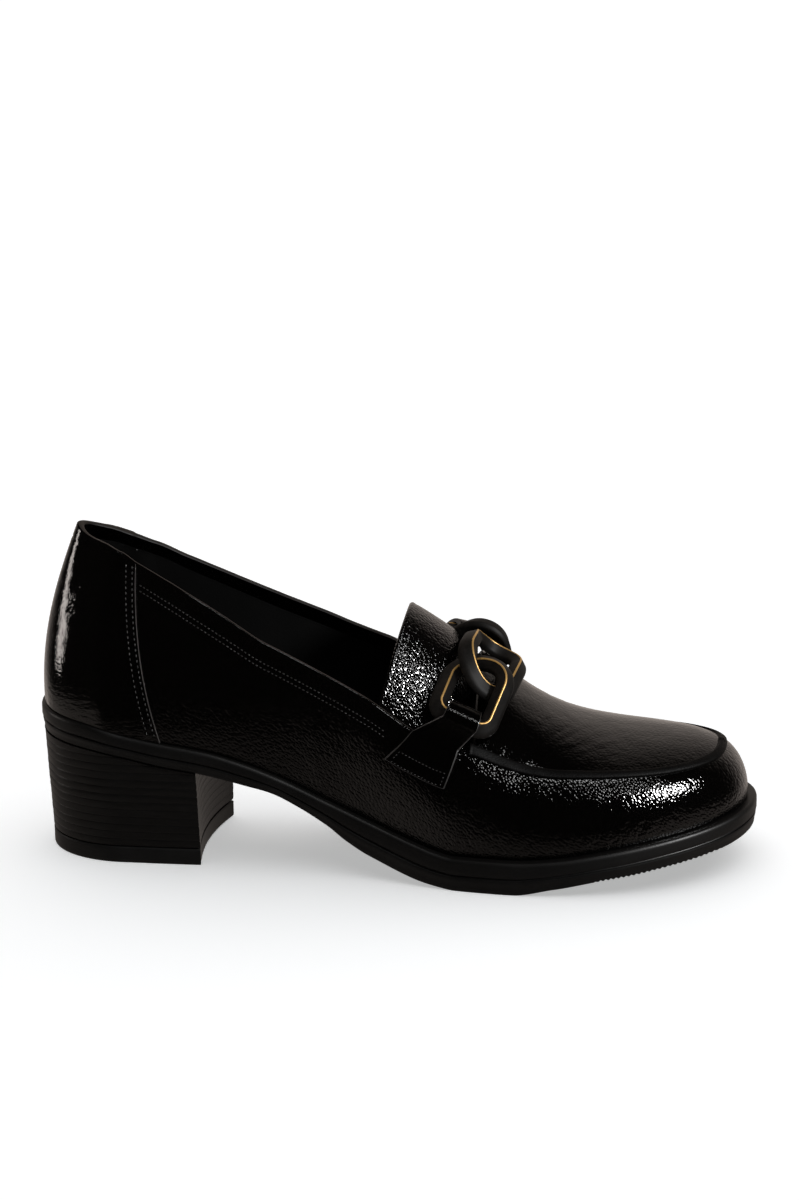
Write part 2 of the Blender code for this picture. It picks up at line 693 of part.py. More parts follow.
def heel_solid(low, high, drop):
    """A block on the heel's outline between two heights; drop gives the taper at a height."""
    front = x_station(HEEL_FRONT)
    line = [station for station in stations() if station < front - 0.01] + [front]
    columns = [(-1, station) for station in reversed(line)] + [(1, station) for station in line[1:]]
    parts = (1.0, 0.8, 0.6, 0.4, 0.2, 0.0)
    made = Builder()

    heights = (1.0, 0.75, 0.5, 0.25, 0.0)
    rows = []
    for side, station in columns:
        line_of = []
        for part in reversed(parts):
            point = heel_point(side, station, part, drop(1.0))
            line_of.append(made.add(Vector((point.x, point.y, high(point.x)))))
        for height in heights[1:]:
            point = heel_point(side, station, 1.0, drop(height))
            line_of.append(made.add(Vector((point.x, point.y, mix(low, high(point.x), height)))))
        for part in parts[1:]:
            point = heel_point(side, station, part, drop(0.0))
            line_of.append(made.add(Vector((point.x, point.y, low))))
        rows.append(line_of)
    for first, second in zip(rows, rows[1:]):
        made.strip(first, second)
    breast(made, columns[0][1], parts, heights, low, high, drop)
    return made


def breast(made, station, parts, heights, low, high, drop):
    """Curved front face of the heel, from its lateral to its medial edge."""
    across = [(-1, part) for part in parts] + [(1, part) for part in reversed(parts[:-1])]
    grid = []
    for height in heights:
        line = []
        for side, part in across:
            point = heel_point(side, station, part, drop(height))
            line.append(made.add(Vector((point.x, point.y, mix(low, high(point.x), height)))))
        grid.append(line)
    for first, second in zip(grid, grid[1:]):
        made.strip(first, second)


def make_heel(look, collection, parent):
    made = heel_solid(TIP_THICKNESS + GAP, lambda x: sole_bottom(x) - GAP, lambda height: 1 - height)
    return finish("heel", made.points, made.faces, look, collection, parent)


def make_heel_tip(look, collection, parent):
    made = heel_solid(0.0, lambda x: TIP_THICKNESS, lambda height: 1.0)
    return finish("heel_tip", made.points, made.faces, look, collection, parent)


class Ring:
    """A ring's frame: its bar, its way to the far end, its way to the toe and the way up from the foot."""

    def __init__(self, row):
        self.name, start, end, tilt, self.near_lift, self.far_lift, arch, self.oval = row
        middle = [(a + b) / 2 for a, b in zip(start, end)]
        self.start, end = over_instep(*start), over_instep(*end)
        self.reach = (end - self.start).length
        self.along = (end - self.start) / self.reach
        behind, ahead = (over_instep(middle[0] + step, *middle[1:]) for step in (-0.5, 0.5))
        slope = math.atan((behind.z - ahead.z) / RING_WIDTH) + math.radians(tilt)
        toe = Vector((math.cos(slope), 0, -math.sin(slope)))
        self.toe = (toe - self.along * toe.dot(self.along)).normalized()
        self.up = self.along.cross(self.toe)
        if self.up.z < 0:
            self.up = -self.up
        self.arch = arch * RING_WIDTH + RING_BEND * (over_instep(*middle).z - (self.start.z + end.z) / 2)

    def at(self, across, along):
        """Middle of the ring's bar: its sides lift or dip to pass the neighbour's, and it arches over the instep."""
        share = along / self.reach
        lift = 2 * mix(self.near_lift, self.far_lift, ease(share)) * across
        lift += self.arch * (1 - (2 * share - 1) ** 2)
        return self.start + self.toe * across + self.along * along + self.up * lift

    def outline(self):
        """Plan of the middle line: a bar with two corners, or a round end, then two sides and a round end."""
        half = RING_WIDTH / 2
        corner = half if self.oval else RING_CORNER
        path = []
        for middle, radius, first in ((0, half, 0), (-(half - corner), corner, 180), (half - corner, corner, 270)):
            far = first == 0
            turn, count = (180, 14) if far else (90, 7 if self.oval else 5)
            for i in range(count + 1):
                angle = math.radians(first + turn * i / count)
                centre = self.reach - half if far else corner
                path.append((middle + radius * math.cos(angle), centre + radius * math.sin(angle)))
        return path


def over_instep(ahead, width_share, lift):
    x = THROAT + ahead * RING_WIDTH
    side = -1 if width_share < 0 else 1
    xs, widths, _ = SEAM[side]
    y = spine_y(x) + width_share * linear(xs, widths, x)
    return Vector((x, y, apron_height(side, x, y) + lift * RING_WIDTH))


def make_ring(ring, look, collection, parent):
    """Sweeps a ridged section round the ring's middle line."""
    plan = []
    for point in ring.outline():
        if not plan or (Vector(point) - Vector(plan[-1])).length > 0.05:
            plan.append(point)
    if (Vector(plan[0]) - Vector(plan[-1])).length < 0.05:
        plan.pop()
    spots = [ring.at(*point) for point in plan]
    count = len(spots)
    made = Builder()
    loops = []
    for i in range(count):
        tangent = (spots[(i + 1) % count] - spots[i - 1]).normalized()
        outward = tangent.cross(ring.up).normalized()
        up = outward.cross(tangent).normalized()
        loops.append([made.add(spots[i] + outward * a + up * b) for a, b in RING_SECTION])
    for first, second in zip(loops, loops[1:] + loops[:1]):
        made.strip(first + first[:1], second + second[:1])
    return finish(ring.name, made.points, made.faces, look, collection, parent)


def strap_rows(side, ring):
    """Rows of (point, outward) across the strap, from its sewn foot over the bar to its turned-in end."""
    across = (-1.0, -0.6, -0.2, 0.2, 0.6, 1.0)
    rows = []
    for i in range(7):
        t = i / 6
        middle = THROAT - FLANGE_BACK + STRAP_SWEEP * t
        half = mix(FLANGE_WIDTH, STRAP_WIDTH, FLANGE_TAPER * t) / 2
        line = []
        for c in across:
            point, normal = wall(side, x_station(middle + half * c), mix(FLANGE_FOOT, FLANGE_TOP, t))
            line.append((point + normal * (GAP + STRAP_LIFT * t * t), normal))
        rows.append(line)
    radius = math.hypot(RING_BAND / 2, RING_FOOT) + GAP
    first = math.atan2(Vector((0, side, 0)).dot(ring.up), -side * ring.along.y)
    last = math.radians(STRAP_WRAP)
    for i in range(11):
        angle = mix(first, last, i / 10)
        spoke = ring.along * -math.cos(angle) + ring.up * math.sin(angle)
        half = mix(STRAP_WIDTH, STRAP_END, ease(i / 7)) / 2
        rows.append([(ring.at(c * half, 0) + spoke * radius, spoke) for c in across])
    turn = ring.along * math.sin(last) + ring.up * math.cos(last)
    rows.append([(point + turn * STRAP_TAIL, normal) for point, normal in rows[-1]])
    return rows


def make_strap(side, ring, look, collection, parent):
    rows = strap_rows(side, ring)
    wide = len(rows[0])
    inner = [point for row in rows for point, _ in row]
    outer = [point + normal * STRAP_THICKNESS for row in rows for point, normal in row]
    faces = [
        [i * wide + j, i * wide + j + 1, (i + 1) * wide + j + 1, (i + 1) * wide + j]
        for i in range(len(rows) - 1)
        for j in range(wide - 1)
    ]
    points, walls = shell(outer, inner, faces)
    name = "strap_lateral" if side < 0 else "strap_medial"
    return finish(name, points, walls, look, collection, parent)


def main():
    for old in list(bpy.data.objects):
        bpy.data.objects.remove(old)
    collection = bpy.data.collections.new("loafer_pump")
    bpy.context.scene.collection.children.link(collection)
    widest = {side: max(HALF_WIDTH[side].ys) for side in (-1, 1)}
    origin = bpy.data.objects.new("last", None)
    origin.location = Vector((-LENGTH / 2, (widest[-1] - widest[1]) / 2, 0)) / 1000
    collection.objects.link(origin)
    patent = material("patent_leather", (0.012, 0.011, 0.011), 0.18)
    rubber = material("sole_rubber", (0.02, 0.019, 0.019), 0.5)
    stack = material("stacked_heel", (0.025, 0.022, 0.02), 0.45)
    lining = material("lining", (0.02, 0.02, 0.02), 0.8)
    black = material("matte_black", (0.015, 0.014, 0.013), 0.42, 0.3)
    make_outsole(rubber, collection, origin)
    make_heel(stack, collection, origin)
    make_heel_tip(rubber, collection, origin)
    make_insole(lining, collection, origin)
    make_upper(patent, collection, origin)
    make_tongue(patent, collection, origin)
    rings = [Ring(row) for row in RINGS]
    for ring in rings:
        make_ring(ring, black, collection, origin)
    make_strap(-1, rings[0], patent, collection, origin)
    make_strap(1, rings[2], patent, collection, origin)


main()
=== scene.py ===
import bisect
import functools
import json
import math
import random

import bmesh
import bpy
from mathutils import Matrix, Vector

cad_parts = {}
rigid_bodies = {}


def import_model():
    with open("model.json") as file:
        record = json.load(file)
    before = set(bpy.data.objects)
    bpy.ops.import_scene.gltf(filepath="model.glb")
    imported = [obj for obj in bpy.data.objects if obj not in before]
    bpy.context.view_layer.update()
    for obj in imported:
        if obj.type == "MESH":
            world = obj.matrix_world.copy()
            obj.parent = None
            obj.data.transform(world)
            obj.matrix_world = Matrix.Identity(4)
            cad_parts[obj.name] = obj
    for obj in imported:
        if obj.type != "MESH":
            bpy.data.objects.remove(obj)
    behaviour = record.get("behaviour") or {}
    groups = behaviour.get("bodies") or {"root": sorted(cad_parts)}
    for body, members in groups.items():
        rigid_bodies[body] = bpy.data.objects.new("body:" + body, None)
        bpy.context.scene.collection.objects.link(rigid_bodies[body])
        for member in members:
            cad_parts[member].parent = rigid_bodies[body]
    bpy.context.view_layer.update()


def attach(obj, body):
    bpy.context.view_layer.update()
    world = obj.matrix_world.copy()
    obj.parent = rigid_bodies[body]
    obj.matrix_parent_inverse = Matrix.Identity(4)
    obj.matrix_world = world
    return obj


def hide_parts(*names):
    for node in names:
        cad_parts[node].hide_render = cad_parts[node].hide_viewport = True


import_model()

# The last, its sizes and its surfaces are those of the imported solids: X from the back of the heel to the toe,
# -Y the outer side, Z up from the floor, in millimetres until a mesh is made.

# Driving dimensions, mm
LENGTH = 252.0  # sole, back of the heel to the toe
BALL_WIDTH = 90.0  # sole at the ball
HEEL_WIDTH = 62.5  # sole at the heel seat
HEEL_RIM = 52.3  # height of the sole's edge at the back
BALL_RIM = 10.4  # height of the sole's edge at the ball
TOE_SPRING = 10.4  # rise of the sole's edge from the ball to the toe
SOLE_THICKNESS = 10.4  # sole at the ball
TOE_SWING = 4.0  # how far the toe's tip lies towards the inner side
WELT = 3.3  # ledge of the sole outside the upper
WELT_RISE = 1.4  # height of the upper's foot over the sole's edge
GROOVE_DEPTH = 0.9  # groove along the sole's side
GROOVE_HALF = 0.6  # half the height of that groove
GROOVE_PLACE = 0.54  # its height, as a share of the sole's thickness
LOWER_INSET = 0.7  # how far the side under the groove stands back
COLLAR_RISE = 64.7  # back of the collar over the sole's edge
COLLAR_INSET = 17.7  # how far the collar leans in at the back
APRON_INSET = 11.3  # apron seam inside the sole's edge
INSTEP_RISE = 78.1  # top of the instep line over the ball's edge
TOE_BOX = 30.8  # end of the instep line over the ball's edge
WALL = 2.0  # upper with its lining
SWELL = 1.8  # how far the wall swells out over its foot
FULLNESS = 0.38  # reach of the wall's curve at each end, as a share of its height
SEAM_HEIGHT = 1.0  # raised apron seam
COUNTER_STEP = 0.8  # how far the heel counter stands proud
COUNTER_TOP = 38.5  # counter's front edge at the collar
COUNTER_SWEEP = 9.0  # how much further forward it is at the sole
COUNTER_SPREAD = 34.0  # how far from it the sweep fades out
THROAT = 156.0  # back edge of the apron
INSTEP_RUN = 84.0  # from there to the end of the instep line
TONGUE_REACH = 25.0  # free edge of the tongue behind the throat
TONGUE_LAP = 9.0  # tongue under the apron
TONGUE_DIP = 11.0  # where it starts to dip under the apron, behind the throat
TONGUE_DIP_RUN = 10.0  # length of that dip
TONGUE_SIDE_DROP = 2.0  # its sides below the wall's top line
TONGUE_THICKNESS = 2.0
TONGUE_SWEEP = 8.0  # how far the free edge runs back at its sides
HEEL_FRONT = 61.0  # breast of the heel
HEEL_HOLLOW = 3.0  # depth of the breast's curve
HEEL_SLANT = 1.5  # how far its inner edge lies in front, and its outer edge behind
HEEL_TAPER_SIDE = 5.6  # heel drawn in at the floor, on each side
HEEL_TAPER_BACK = 1.3
TIP_THICKNESS = 6.0
STRAP_THICKNESS = 1.5
STRAP_WIDTH = 12.5  # strap at the ring
STRAP_END = 10.6  # strap inside the ring
FLANGE_WIDTH = 20.5  # strap where it is sewn on
FLANGE_BACK = 19.5  # middle of its foot behind the throat
FLANGE_FOOT = 0.62  # its height, as a share of the wall's
FLANGE_TOP = 0.97  # where the strap leaves the wall, as such a share
FLANGE_TAPER = 0.6  # share of its narrowing that lies on the wall
STRAP_SWEEP = 7.0  # how far it leans forward over the wall
STRAP_LIFT = 1.5  # how far it stands off the wall's top
STRAP_WRAP = 215.0  # degrees, where its loop round the bar ends
STRAP_TAIL = 2.0
RING_WIDTH = 18.0  # between the middles of a ring's sides
RING_CORNER = 3.5
RING_BAND = 5.6  # width of its bar
RING_CREST = 2.8  # ridge over the bar's middle
RING_FOOT = 1.6  # underside below the bar's middle
RING_BEND = 0.5  # how much of the instep's own arch it follows, as a share
GAP = 0.3  # between pieces that meet

# Stations round the sole, 0 to 3: a fan of planes round the heel, planes across the foot, a fan round the toe
HEEL_CENTRE = 32.0
TOE_CENTRE = 178.0
HEEL_ROUND = 2.0  # exponent of the ellipse round the heel
TOE_ROUND = {-1: 2.0, 1: 2.15}  # and round the toe, lateral and medial

# Sole lines: x as a share of LENGTH, lift towards HEEL_RIM, lift by TOE_SPRING, thickness by SOLE_THICKNESS
SOLE_LINES = (
    (0, 1, 0, 0.77), (0.071, 0.976, 0, 0.74), (0.143, 0.881, 0, 0.64), (0.187, 0.831, 0, 0.67),
    (0.252, 0.764, 0, 0.67), (0.302, 0.678, 0, 0.62), (0.345, 0.58, 0, 0.52), (0.377, 0.494, 0, 0.57),
    (0.417, 0.384, 0, 0.71), (0.444, 0.314, 0, 0.93), (0.476, 0.234, 0, 1.06), (0.536, 0.093, 0, 1.1),
    (0.575, 0.02, 0, 1.02), (0.595, 0, 0, 1), (0.675, 0, 0, 1), (0.73, 0, 0.096, 0.86), (0.79, 0, 0.3, 0.8),
    (0.835, 0, 0.46, 0.82), (0.877, 0, 0.606, 0.81), (0.956, 0, 0.856, 0.81), (1, 0, 1, 0.8),
)

# Outline across the foot: x as a share of LENGTH, then the lateral and medial half width,
# by HEEL_WIDTH and by BALL_WIDTH
OUTLINE = (
    (0.127, 0.496, 0.496, 0, 0), (0.187, 0.502, 0.496, 0, 0), (0.252, 0.504, 0.483, 0, 0),
    (0.302, 0.504, 0.469, 0, 0), (0.357, 0.49, 0.45, 0.01, 0.005), (0.417, 0.44, 0.4, 0.058, 0.047),
    (0.476, 0.28, 0.26, 0.194, 0.175), (0.536, 0.13, 0.11, 0.334, 0.324), (0.575, 0.04, 0.04, 0.422, 0.409),
    (0.627, 0, 0, 0.475, 0.478), (0.679, 0, 0, 0.489, 0.502), (0.706, 0, 0, 0.49, 0.508),
)

# Upper's top line on each side: station, share of COLLAR_INSET, share of APRON_INSET, share of COLLAR_RISE,
# share of SWELL and the slope at the top (degrees)
TOP_LATERAL = (
    (0, 1, 0, 1, 0.444, 64), (0.5, 1.15, 0, 0.952, 0.667, 66), (1, 1.05, 0, 0.956, 0.889, 70),
    (1.05, 0.875, 0, 0.936, 0.944, 72), (1.13, 0.665, 0, 0.882, 1, 74), (1.19, 0.52, 0, 0.834, 1, 76),
    (1.26, 0.42, 0, 0.784, 1, 77), (1.36, 0.26, 0.045, 0.74, 1, 78), (1.48, 0.12, 0.15, 0.728, 1, 78),
    (1.6, 0, 0.33, 0.706, 1, 74), (1.69, 0, 0.44, 0.658, 1, 68), (1.76, 0, 0.6, 0.622, 1, 63),
    (1.84, 0, 0.8, 0.587, 1, 56), (1.92, 0, 0.95, 0.518, 1, 48), (2, 0, 1, 0.466, 0.944, 42),
    (2.2, 0, 1.015, 0.425, 0.833, 38), (2.4, 0, 1.01, 0.384, 0.667, 35), (2.65, 0, 0.97, 0.334, 0.5, 30),
    (2.85, 0, 0.99, 0.308, 0.389, 27), (3, 0, 1.08, 0.305, 0.333, 25),
)
TOP_MEDIAL = (
    (0, 1, 0, 1, 0.444, 64), (0.5, 1.15, 0, 0.952, 0.667, 66), (1, 1.05, 0, 0.956, 0.889, 70),
    (1.05, 0.865, 0, 0.938, 0.944, 72), (1.13, 0.645, 0, 0.866, 1, 74), (1.19, 0.49, 0, 0.818, 1, 76),
    (1.26, 0.35, 0, 0.776, 1.111, 78), (1.36, 0.175, 0, 0.743, 1.222, 80),
    (1.48, 0.06, 0.06, 0.748, 1.222, 80), (1.6, 0, 0.21, 0.748, 1.111, 75), (1.69, 0, 0.38, 0.72, 1, 69),
    (1.76, 0, 0.58, 0.672, 1, 64), (1.84, 0, 0.83, 0.61, 1, 57), (1.92, 0, 0.98, 0.528, 1, 48),
    (2, 0, 1, 0.468, 0.944, 42), (2.2, 0, 1.01, 0.412, 0.833, 38), (2.4, 0, 1, 0.36, 0.667, 35),
    (2.65, 0, 0.98, 0.312, 0.5, 30), (2.85, 0, 1.01, 0.298, 0.389, 27), (3, 0, 1.08, 0.305, 0.333, 25),
)

# Instep line down the middle of tongue and apron: x from THROAT as a share of INSTEP_RUN, share of the fall
INSTEP_LINE = (
    (-0.3571, -0.07), (-0.2851, 0), (-0.1472, 0.161), (-0.0001, 0.359), (0.1649, 0.598), (0.2429, 0.692),
    (0.3208, 0.763), (0.4049, 0.818), (0.4889, 0.852), (0.5818, 0.878), (0.7258, 0.903), (0.8578, 0.932),
    (0.9329, 0.962), (0.9989, 1),
)
INSTEP_ROUND = 2.1  # exponent of the arch across instep and apron

# Rings: name, start and end of the middle line (x from THROAT by RING_WIDTH, share of the half width
# inside the seam, height over the instep by RING_WIDTH), tilt to the instep (degrees), lift of the toe
# side at each end and arch, all three by RING_WIDTH, and whether oval
RINGS = (
    ("ring_lateral", (-0.2107, -1.007, 0.5861), (0.1393, -0.502, 0.5139), -7.12,
     -0.0222, 0.25, -0.0233, False),
    ("ring_middle", (0.0693, -0.7, 0.4944), (0.2513, 0.141, 0.1722), -11.21,
     -0.25, -0.0222, 0.1422, True),
    ("ring_medial", (-0.4907, 0.938, 0.762), (0.2793, 0.296, 0.508), -7.61,
     0.1611, -0.1667, -0.2656, False),
)


def ease(t):
    t = min(max(t, 0.0), 1.0)
    return t * t * (3 - 2 * t)


def mix(a, b, t):
    return a + (b - a) * t


def slopes(xs, ys):
    """Slopes of a smooth curve through the points that never swings past them, and is level at both ends."""
    steps = [(b - a) / (q - p) for a, b, p, q in zip(ys, ys[1:], xs, xs[1:])]
    inner = [0.0 if a * b <= 0 else 2 * a * b / (a + b) for a, b in zip(steps, steps[1:])]
    return [0.0] + inner + [0.0]


class Curve:
    """A smooth function given by rows of a table, level at its ends unless `open_ends` is set."""

    def __init__(self, xs, ys, open_ends=False):
        self.xs = list(xs)
        self.ys = list(ys)
        self.ms = slopes(self.xs, self.ys)
        if open_ends:
            self.ms[0] = (self.ys[1] - self.ys[0]) / (self.xs[1] - self.xs[0])
            self.ms[-1] = (self.ys[-1] - self.ys[-2]) / (self.xs[-1] - self.xs[-2])

    def __call__(self, x):
        x = min(max(x, self.xs[0]), self.xs[-1])
        i = min(max(bisect.bisect_right(self.xs, x) - 1, 0), len(self.xs) - 2)
        h = self.xs[i + 1] - self.xs[i]
        t = (x - self.xs[i]) / h
        a = (1 + 2 * t) * (1 - t) ** 2
        b = t * (1 - t) ** 2
        c = t * t * (3 - 2 * t)
        d = t * t * (t - 1)
        return a * self.ys[i] + b * h * self.ms[i] + c * self.ys[i + 1] + d * h * self.ms[i + 1]


def column(rows, number, scale=1.0, open_ends=False):
    return Curve([row[0] * scale for row in rows], [row[number] for row in rows], open_ends)


HEEL_LIFT = column(SOLE_LINES, 1, LENGTH)
TOE_LIFT = column(SOLE_LINES, 2, LENGTH, open_ends=True)
THICKNESS = column(SOLE_LINES, 3, LENGTH)
HALF_WIDTH = {
    side: Curve(
        [row[0] * LENGTH for row in OUTLINE],
        [row[col] * HEEL_WIDTH + row[col + 2] * BALL_WIDTH for row in OUTLINE],
    )
    for side, col in ((-1, 1), (1, 2))
}
TOP = {
    side: {
        "inset": Curve([r[0] for r in rows], [r[1] * COLLAR_INSET + r[2] * APRON_INSET for r in rows]),
        "rise": Curve([r[0] for r in rows], [r[3] * COLLAR_RISE for r in rows]),
        "swell": Curve([r[0] for r in rows], [r[4] * SWELL for r in rows]),
        "slope": column(rows, 5),
    }
    for side, rows in ((-1, TOP_LATERAL), (1, TOP_MEDIAL))
}
INSTEP_FALL = Curve(
    [THROAT + row[0] * INSTEP_RUN for row in INSTEP_LINE], [row[1] for row in INSTEP_LINE], True)


def sole_top(x):
    """Height of the sole's upper edge."""
    return BALL_RIM + (HEEL_RIM - BALL_RIM) * HEEL_LIFT(x) + TOE_SPRING * TOE_LIFT(x)


def sole_bottom(x):
    return sole_top(x) - SOLE_THICKNESS * THICKNESS(x)


def spine_y(x):
    """The middle line of the last swings to the toe's tip."""
    return TOE_SWING * ease((x - HEEL_CENTRE) / (TOE_CENTRE - HEEL_CENTRE))


def station_x(station):
    return mix(HEEL_CENTRE, TOE_CENTRE, min(max(station - 1, 0.0), 1.0))


def x_station(x):
    return 1 + (x - HEEL_CENTRE) / (TOE_CENTRE - HEEL_CENTRE)


def plane(side, station):
    """Spine point, outward direction and distance to the sole's edge, of one plane of the fan."""
    x = station_x(station)
    y = spine_y(x)
    reach = HALF_WIDTH[side](x) - side * y
    if station < 1:
        angle = math.radians(90 * station)
        long, power = HEEL_CENTRE, HEEL_ROUND
        way = Vector((-math.cos(angle), side * math.sin(angle), 0))
    elif station > 2:
        angle = math.radians(90 * (3 - station))
        long, power = LENGTH - TOE_CENTRE, TOE_ROUND[side]
        way = Vector((math.cos(angle), side * math.sin(angle), 0))
    else:
        return Vector((x, y, 0)), Vector((0, side, 0)), reach
    reach = ((abs(way.x) / long) ** power + (abs(way.y) / reach) ** power) ** (-1 / power)
    return Vector((x, y, 0)), way, reach


def welt_width(station):
    """The ledge is narrower round the heel and waist."""
    return WELT * mix(0.6, 1.0, ease(station - 1))


def feather(side, station):
    """Foot of the upper: the plane, its distance from the spine and its height."""
    spine, way, reach = plane(side, station)
    edge = spine + way * reach
    return spine, way, reach - welt_width(station), sole_top(edge.x) + WELT_RISE


def wall_controls(side, station):
    """Bezier points of the side wall in its plane, as distance from the spine and height."""
    spine, way, foot, low = feather(side, station)
    top = TOP[side]
    reach = foot + welt_width(station) - top["inset"](station)
    high = low - WELT_RISE + top["rise"](station)
    handle = FULLNESS * (high - low)
    slope = math.radians(top["slope"](station))
    return spine, way, (
        (foot, low + GAP),
        (foot + top["swell"](station), low + handle),
        (reach + math.cos(slope) * handle, high - math.sin(slope) * handle),
        (reach, high),
    )


def wall(side, station, s):
    """Point and outward direction on the side wall, s = 0 at the sole and 1 at the top line."""
    spine, way, (a, b, c, d) = wall_controls(side, station)
    t = 1 - s
    r, z = (t**3 * p + 3 * t * t * s * q + 3 * t * s * s * u + s**3 * v for p, q, u, v in zip(a, b, c, d))
    dr, dz = (t * t * (q - p) + 2 * t * s * (u - q) + s * s * (v - u) for p, q, u, v in zip(a, b, c, d))
    length = math.hypot(dr, dz)
    point = spine + way * r + Vector((0, 0, z))
    return point, way * (dz / length) - Vector((0, 0, dr / length))


def instep(x):
    return BALL_RIM + INSTEP_RISE - (INSTEP_RISE - TOE_BOX) * INSTEP_FALL(x)


def seam_tables(side):
    """Half width and height of the top line as functions of x, from the throat to the toe."""
    stations = [1.5 + 1.5 * i / 160 for i in range(161)]
    points = [wall(side, station, 1.0)[0] for station in stations]
    xs = [p.x + i * 1e-6 for i, p in enumerate(points)]
    return xs, [abs(p.y - spine_y(p.x)) for p in points], [p.z for p in points]


SEAM = {side: seam_tables(side) for side in (-1, 1)}


def linear(xs, ys, x):
    x = min(max(x, xs[0]), xs[-1])
    i = min(max(bisect.bisect_right(xs, x) - 1, 0), len(xs) - 2)
    return mix(ys[i], ys[i + 1], (x - xs[i]) / (xs[i + 1] - xs[i]))


def apron_height(side, x, y):
    """Height of the crowned surface inside the apron seam, which the tongue follows too."""
    xs, widths, heights = SEAM[side]
    share = min(abs(y - spine_y(x)) / max(linear(xs, widths, x), 1e-3), 1.0)
    edge = linear(xs, heights, x)
    return edge + (instep(x) - edge) * (1 - share**INSTEP_ROUND)


def apron(side, station, q):
    """Point and upward direction on the apron, q = 0 at the seam and 1 on the spine."""
    edge = wall(side, station, 1.0)[0]
    spine = plane(side, station)[0]
    x, y = mix(edge.x, spine.x, q), mix(edge.y, spine.y, q)
    d = 0.5
    z = apron_height(side, x, y)
    inward = (spine - Vector((edge.x, edge.y, 0))).normalized()
    rise = (apron_height(side, x + inward.x * d, y + inward.y * d) - z) / d if q < 1 else 0.0
    ahead = (apron_height(side, x + d, y) - apron_height(side, x - d, y)) / (2 * d)
    normal = Vector((-rise * inward.x - ahead * abs(inward.y), -rise * inward.y, 1)).normalized()
    return Vector((x, y, z)), normal


def counter_shift(x, s):
    """The planes lean forward at the sole near the counter, so that its front edge follows one of them."""
    near = max(0.0, 1 - abs(x - COUNTER_TOP) / COUNTER_SPREAD)
    return COUNTER_SWEEP * ease(near) * (1 - s) ** 2


class Builder:
    """Collects points and faces, with points at one place made once."""

    def __init__(self):
        self.points = []
        self.faces = []
        self.index = {}

    def add(self, point):
        key = tuple(round(v, 4) for v in point)
        if key not in self.index:
            self.index[key] = len(self.points)
            self.points.append(tuple(point))
        return self.index[key]

    def face(self, corners):
        kept = [c for i, c in enumerate(corners) if c != corners[i - 1]]
        if len(set(kept)) == len(kept) and len(kept) > 2:
            self.faces.append(kept)

    def strip(self, first, second):
        for (a, b), (c, d) in zip(zip(first, first[1:]), zip(second, second[1:])):
            self.face([a, b, d, c])


def tongue_surface(x, share):
    """Tongue's outer side: the instep's arch, drawn in to pass inside the wall and under the apron."""
    side = -1 if share < 0 else 1
    xs, widths, heights = SEAM[side]
    width = linear(xs, widths, x) - WALL - 2 * GAP
    arch = min(abs(share), 1.0)
    edge = linear(xs, heights, x) - TONGUE_SIDE_DROP
    under = (WALL + 3 * GAP) * ease((x - THROAT + TONGUE_DIP) / TONGUE_DIP_RUN)
    z = edge + (instep(x) - edge) * (1 - arch**INSTEP_ROUND) - under
    tail = max(abs(share) - 1.0, 0.0) * width
    return Vector((x, spine_y(x) + math.copysign(width * arch, share), z - tail))


def heel_point(side, station, part, drop):
    """Plan point of the heel: part 1 on its edge, 0 on the spine; drop 0 at the sole, 1 at the floor."""
    spine, way, reach = plane(side, station)
    edge = way * reach * part
    long = 1 - (LOWER_INSET + HEEL_TAPER_BACK * drop) / HEEL_CENTRE
    wide = 1 - (LOWER_INSET + HEEL_TAPER_SIDE * drop) / (HEEL_WIDTH / 2)
    point = Vector((spine.x + edge.x * long, spine.y + edge.y * wide, 0))
    run = max(0.0, (point.x - HEEL_CENTRE) / (HEEL_FRONT - HEEL_CENTRE))
    slant = HEEL_SLANT * run * side * part
    return Vector((point.x - HEEL_HOLLOW * run * (1 - part * part) + slant, point.y, 0))


class Ring:
    """A ring's frame: its bar, its way to the far end, its way to the toe and the way up from the foot."""

    def __init__(self, row):
        self.name, start, end, tilt, self.near_lift, self.far_lift, arch, self.oval = row
        middle = [(a + b) / 2 for a, b in zip(start, end)]
        self.start, end = over_instep(*start), over_instep(*end)
        self.reach = (end - self.start).length
        self.along = (end - self.start) / self.reach
        behind, ahead = (over_instep(middle[0] + step, *middle[1:]) for step in (-0.5, 0.5))
        slope = math.atan((behind.z - ahead.z) / RING_WIDTH) + math.radians(tilt)
        toe = Vector((math.cos(slope), 0, -math.sin(slope)))
        self.toe = (toe - self.along * toe.dot(self.along)).normalized()
        self.up = self.along.cross(self.toe)
        if self.up.z < 0:
            self.up = -self.up
        self.arch = arch * RING_WIDTH + RING_BEND * (over_instep(*middle).z - (self.start.z + end.z) / 2)

    def at(self, across, along):
        """Middle of the ring's bar: its sides lift or dip to pass the neighbour's, and it arches."""
        share = along / self.reach
        lift = 2 * mix(self.near_lift, self.far_lift, ease(share)) * across
        lift += self.arch * (1 - (2 * share - 1) ** 2)
        return self.start + self.toe * across + self.along * along + self.up * lift


def over_instep(ahead, width_share, lift):
    x = THROAT + ahead * RING_WIDTH
    side = -1 if width_share < 0 else 1
    xs, widths, _ = SEAM[side]
    y = spine_y(x) + width_share * linear(xs, widths, x)
    return Vector((x, y, apron_height(side, x, y) + lift * RING_WIDTH))


WIDEST = {side: max(HALF_WIDTH[side].ys) for side in (-1, 1)}
SHIFT = Vector((-LENGTH / 2, (WIDEST[-1] - WIDEST[1]) / 2, 0))
UP = Vector((0, 0, 1))
THROAT_STATION = x_station(THROAT)
COUNTER_STATION = x_station(COUNTER_TOP)


def to_metres(point):
    return (Vector(point) + SHIFT) / 1000


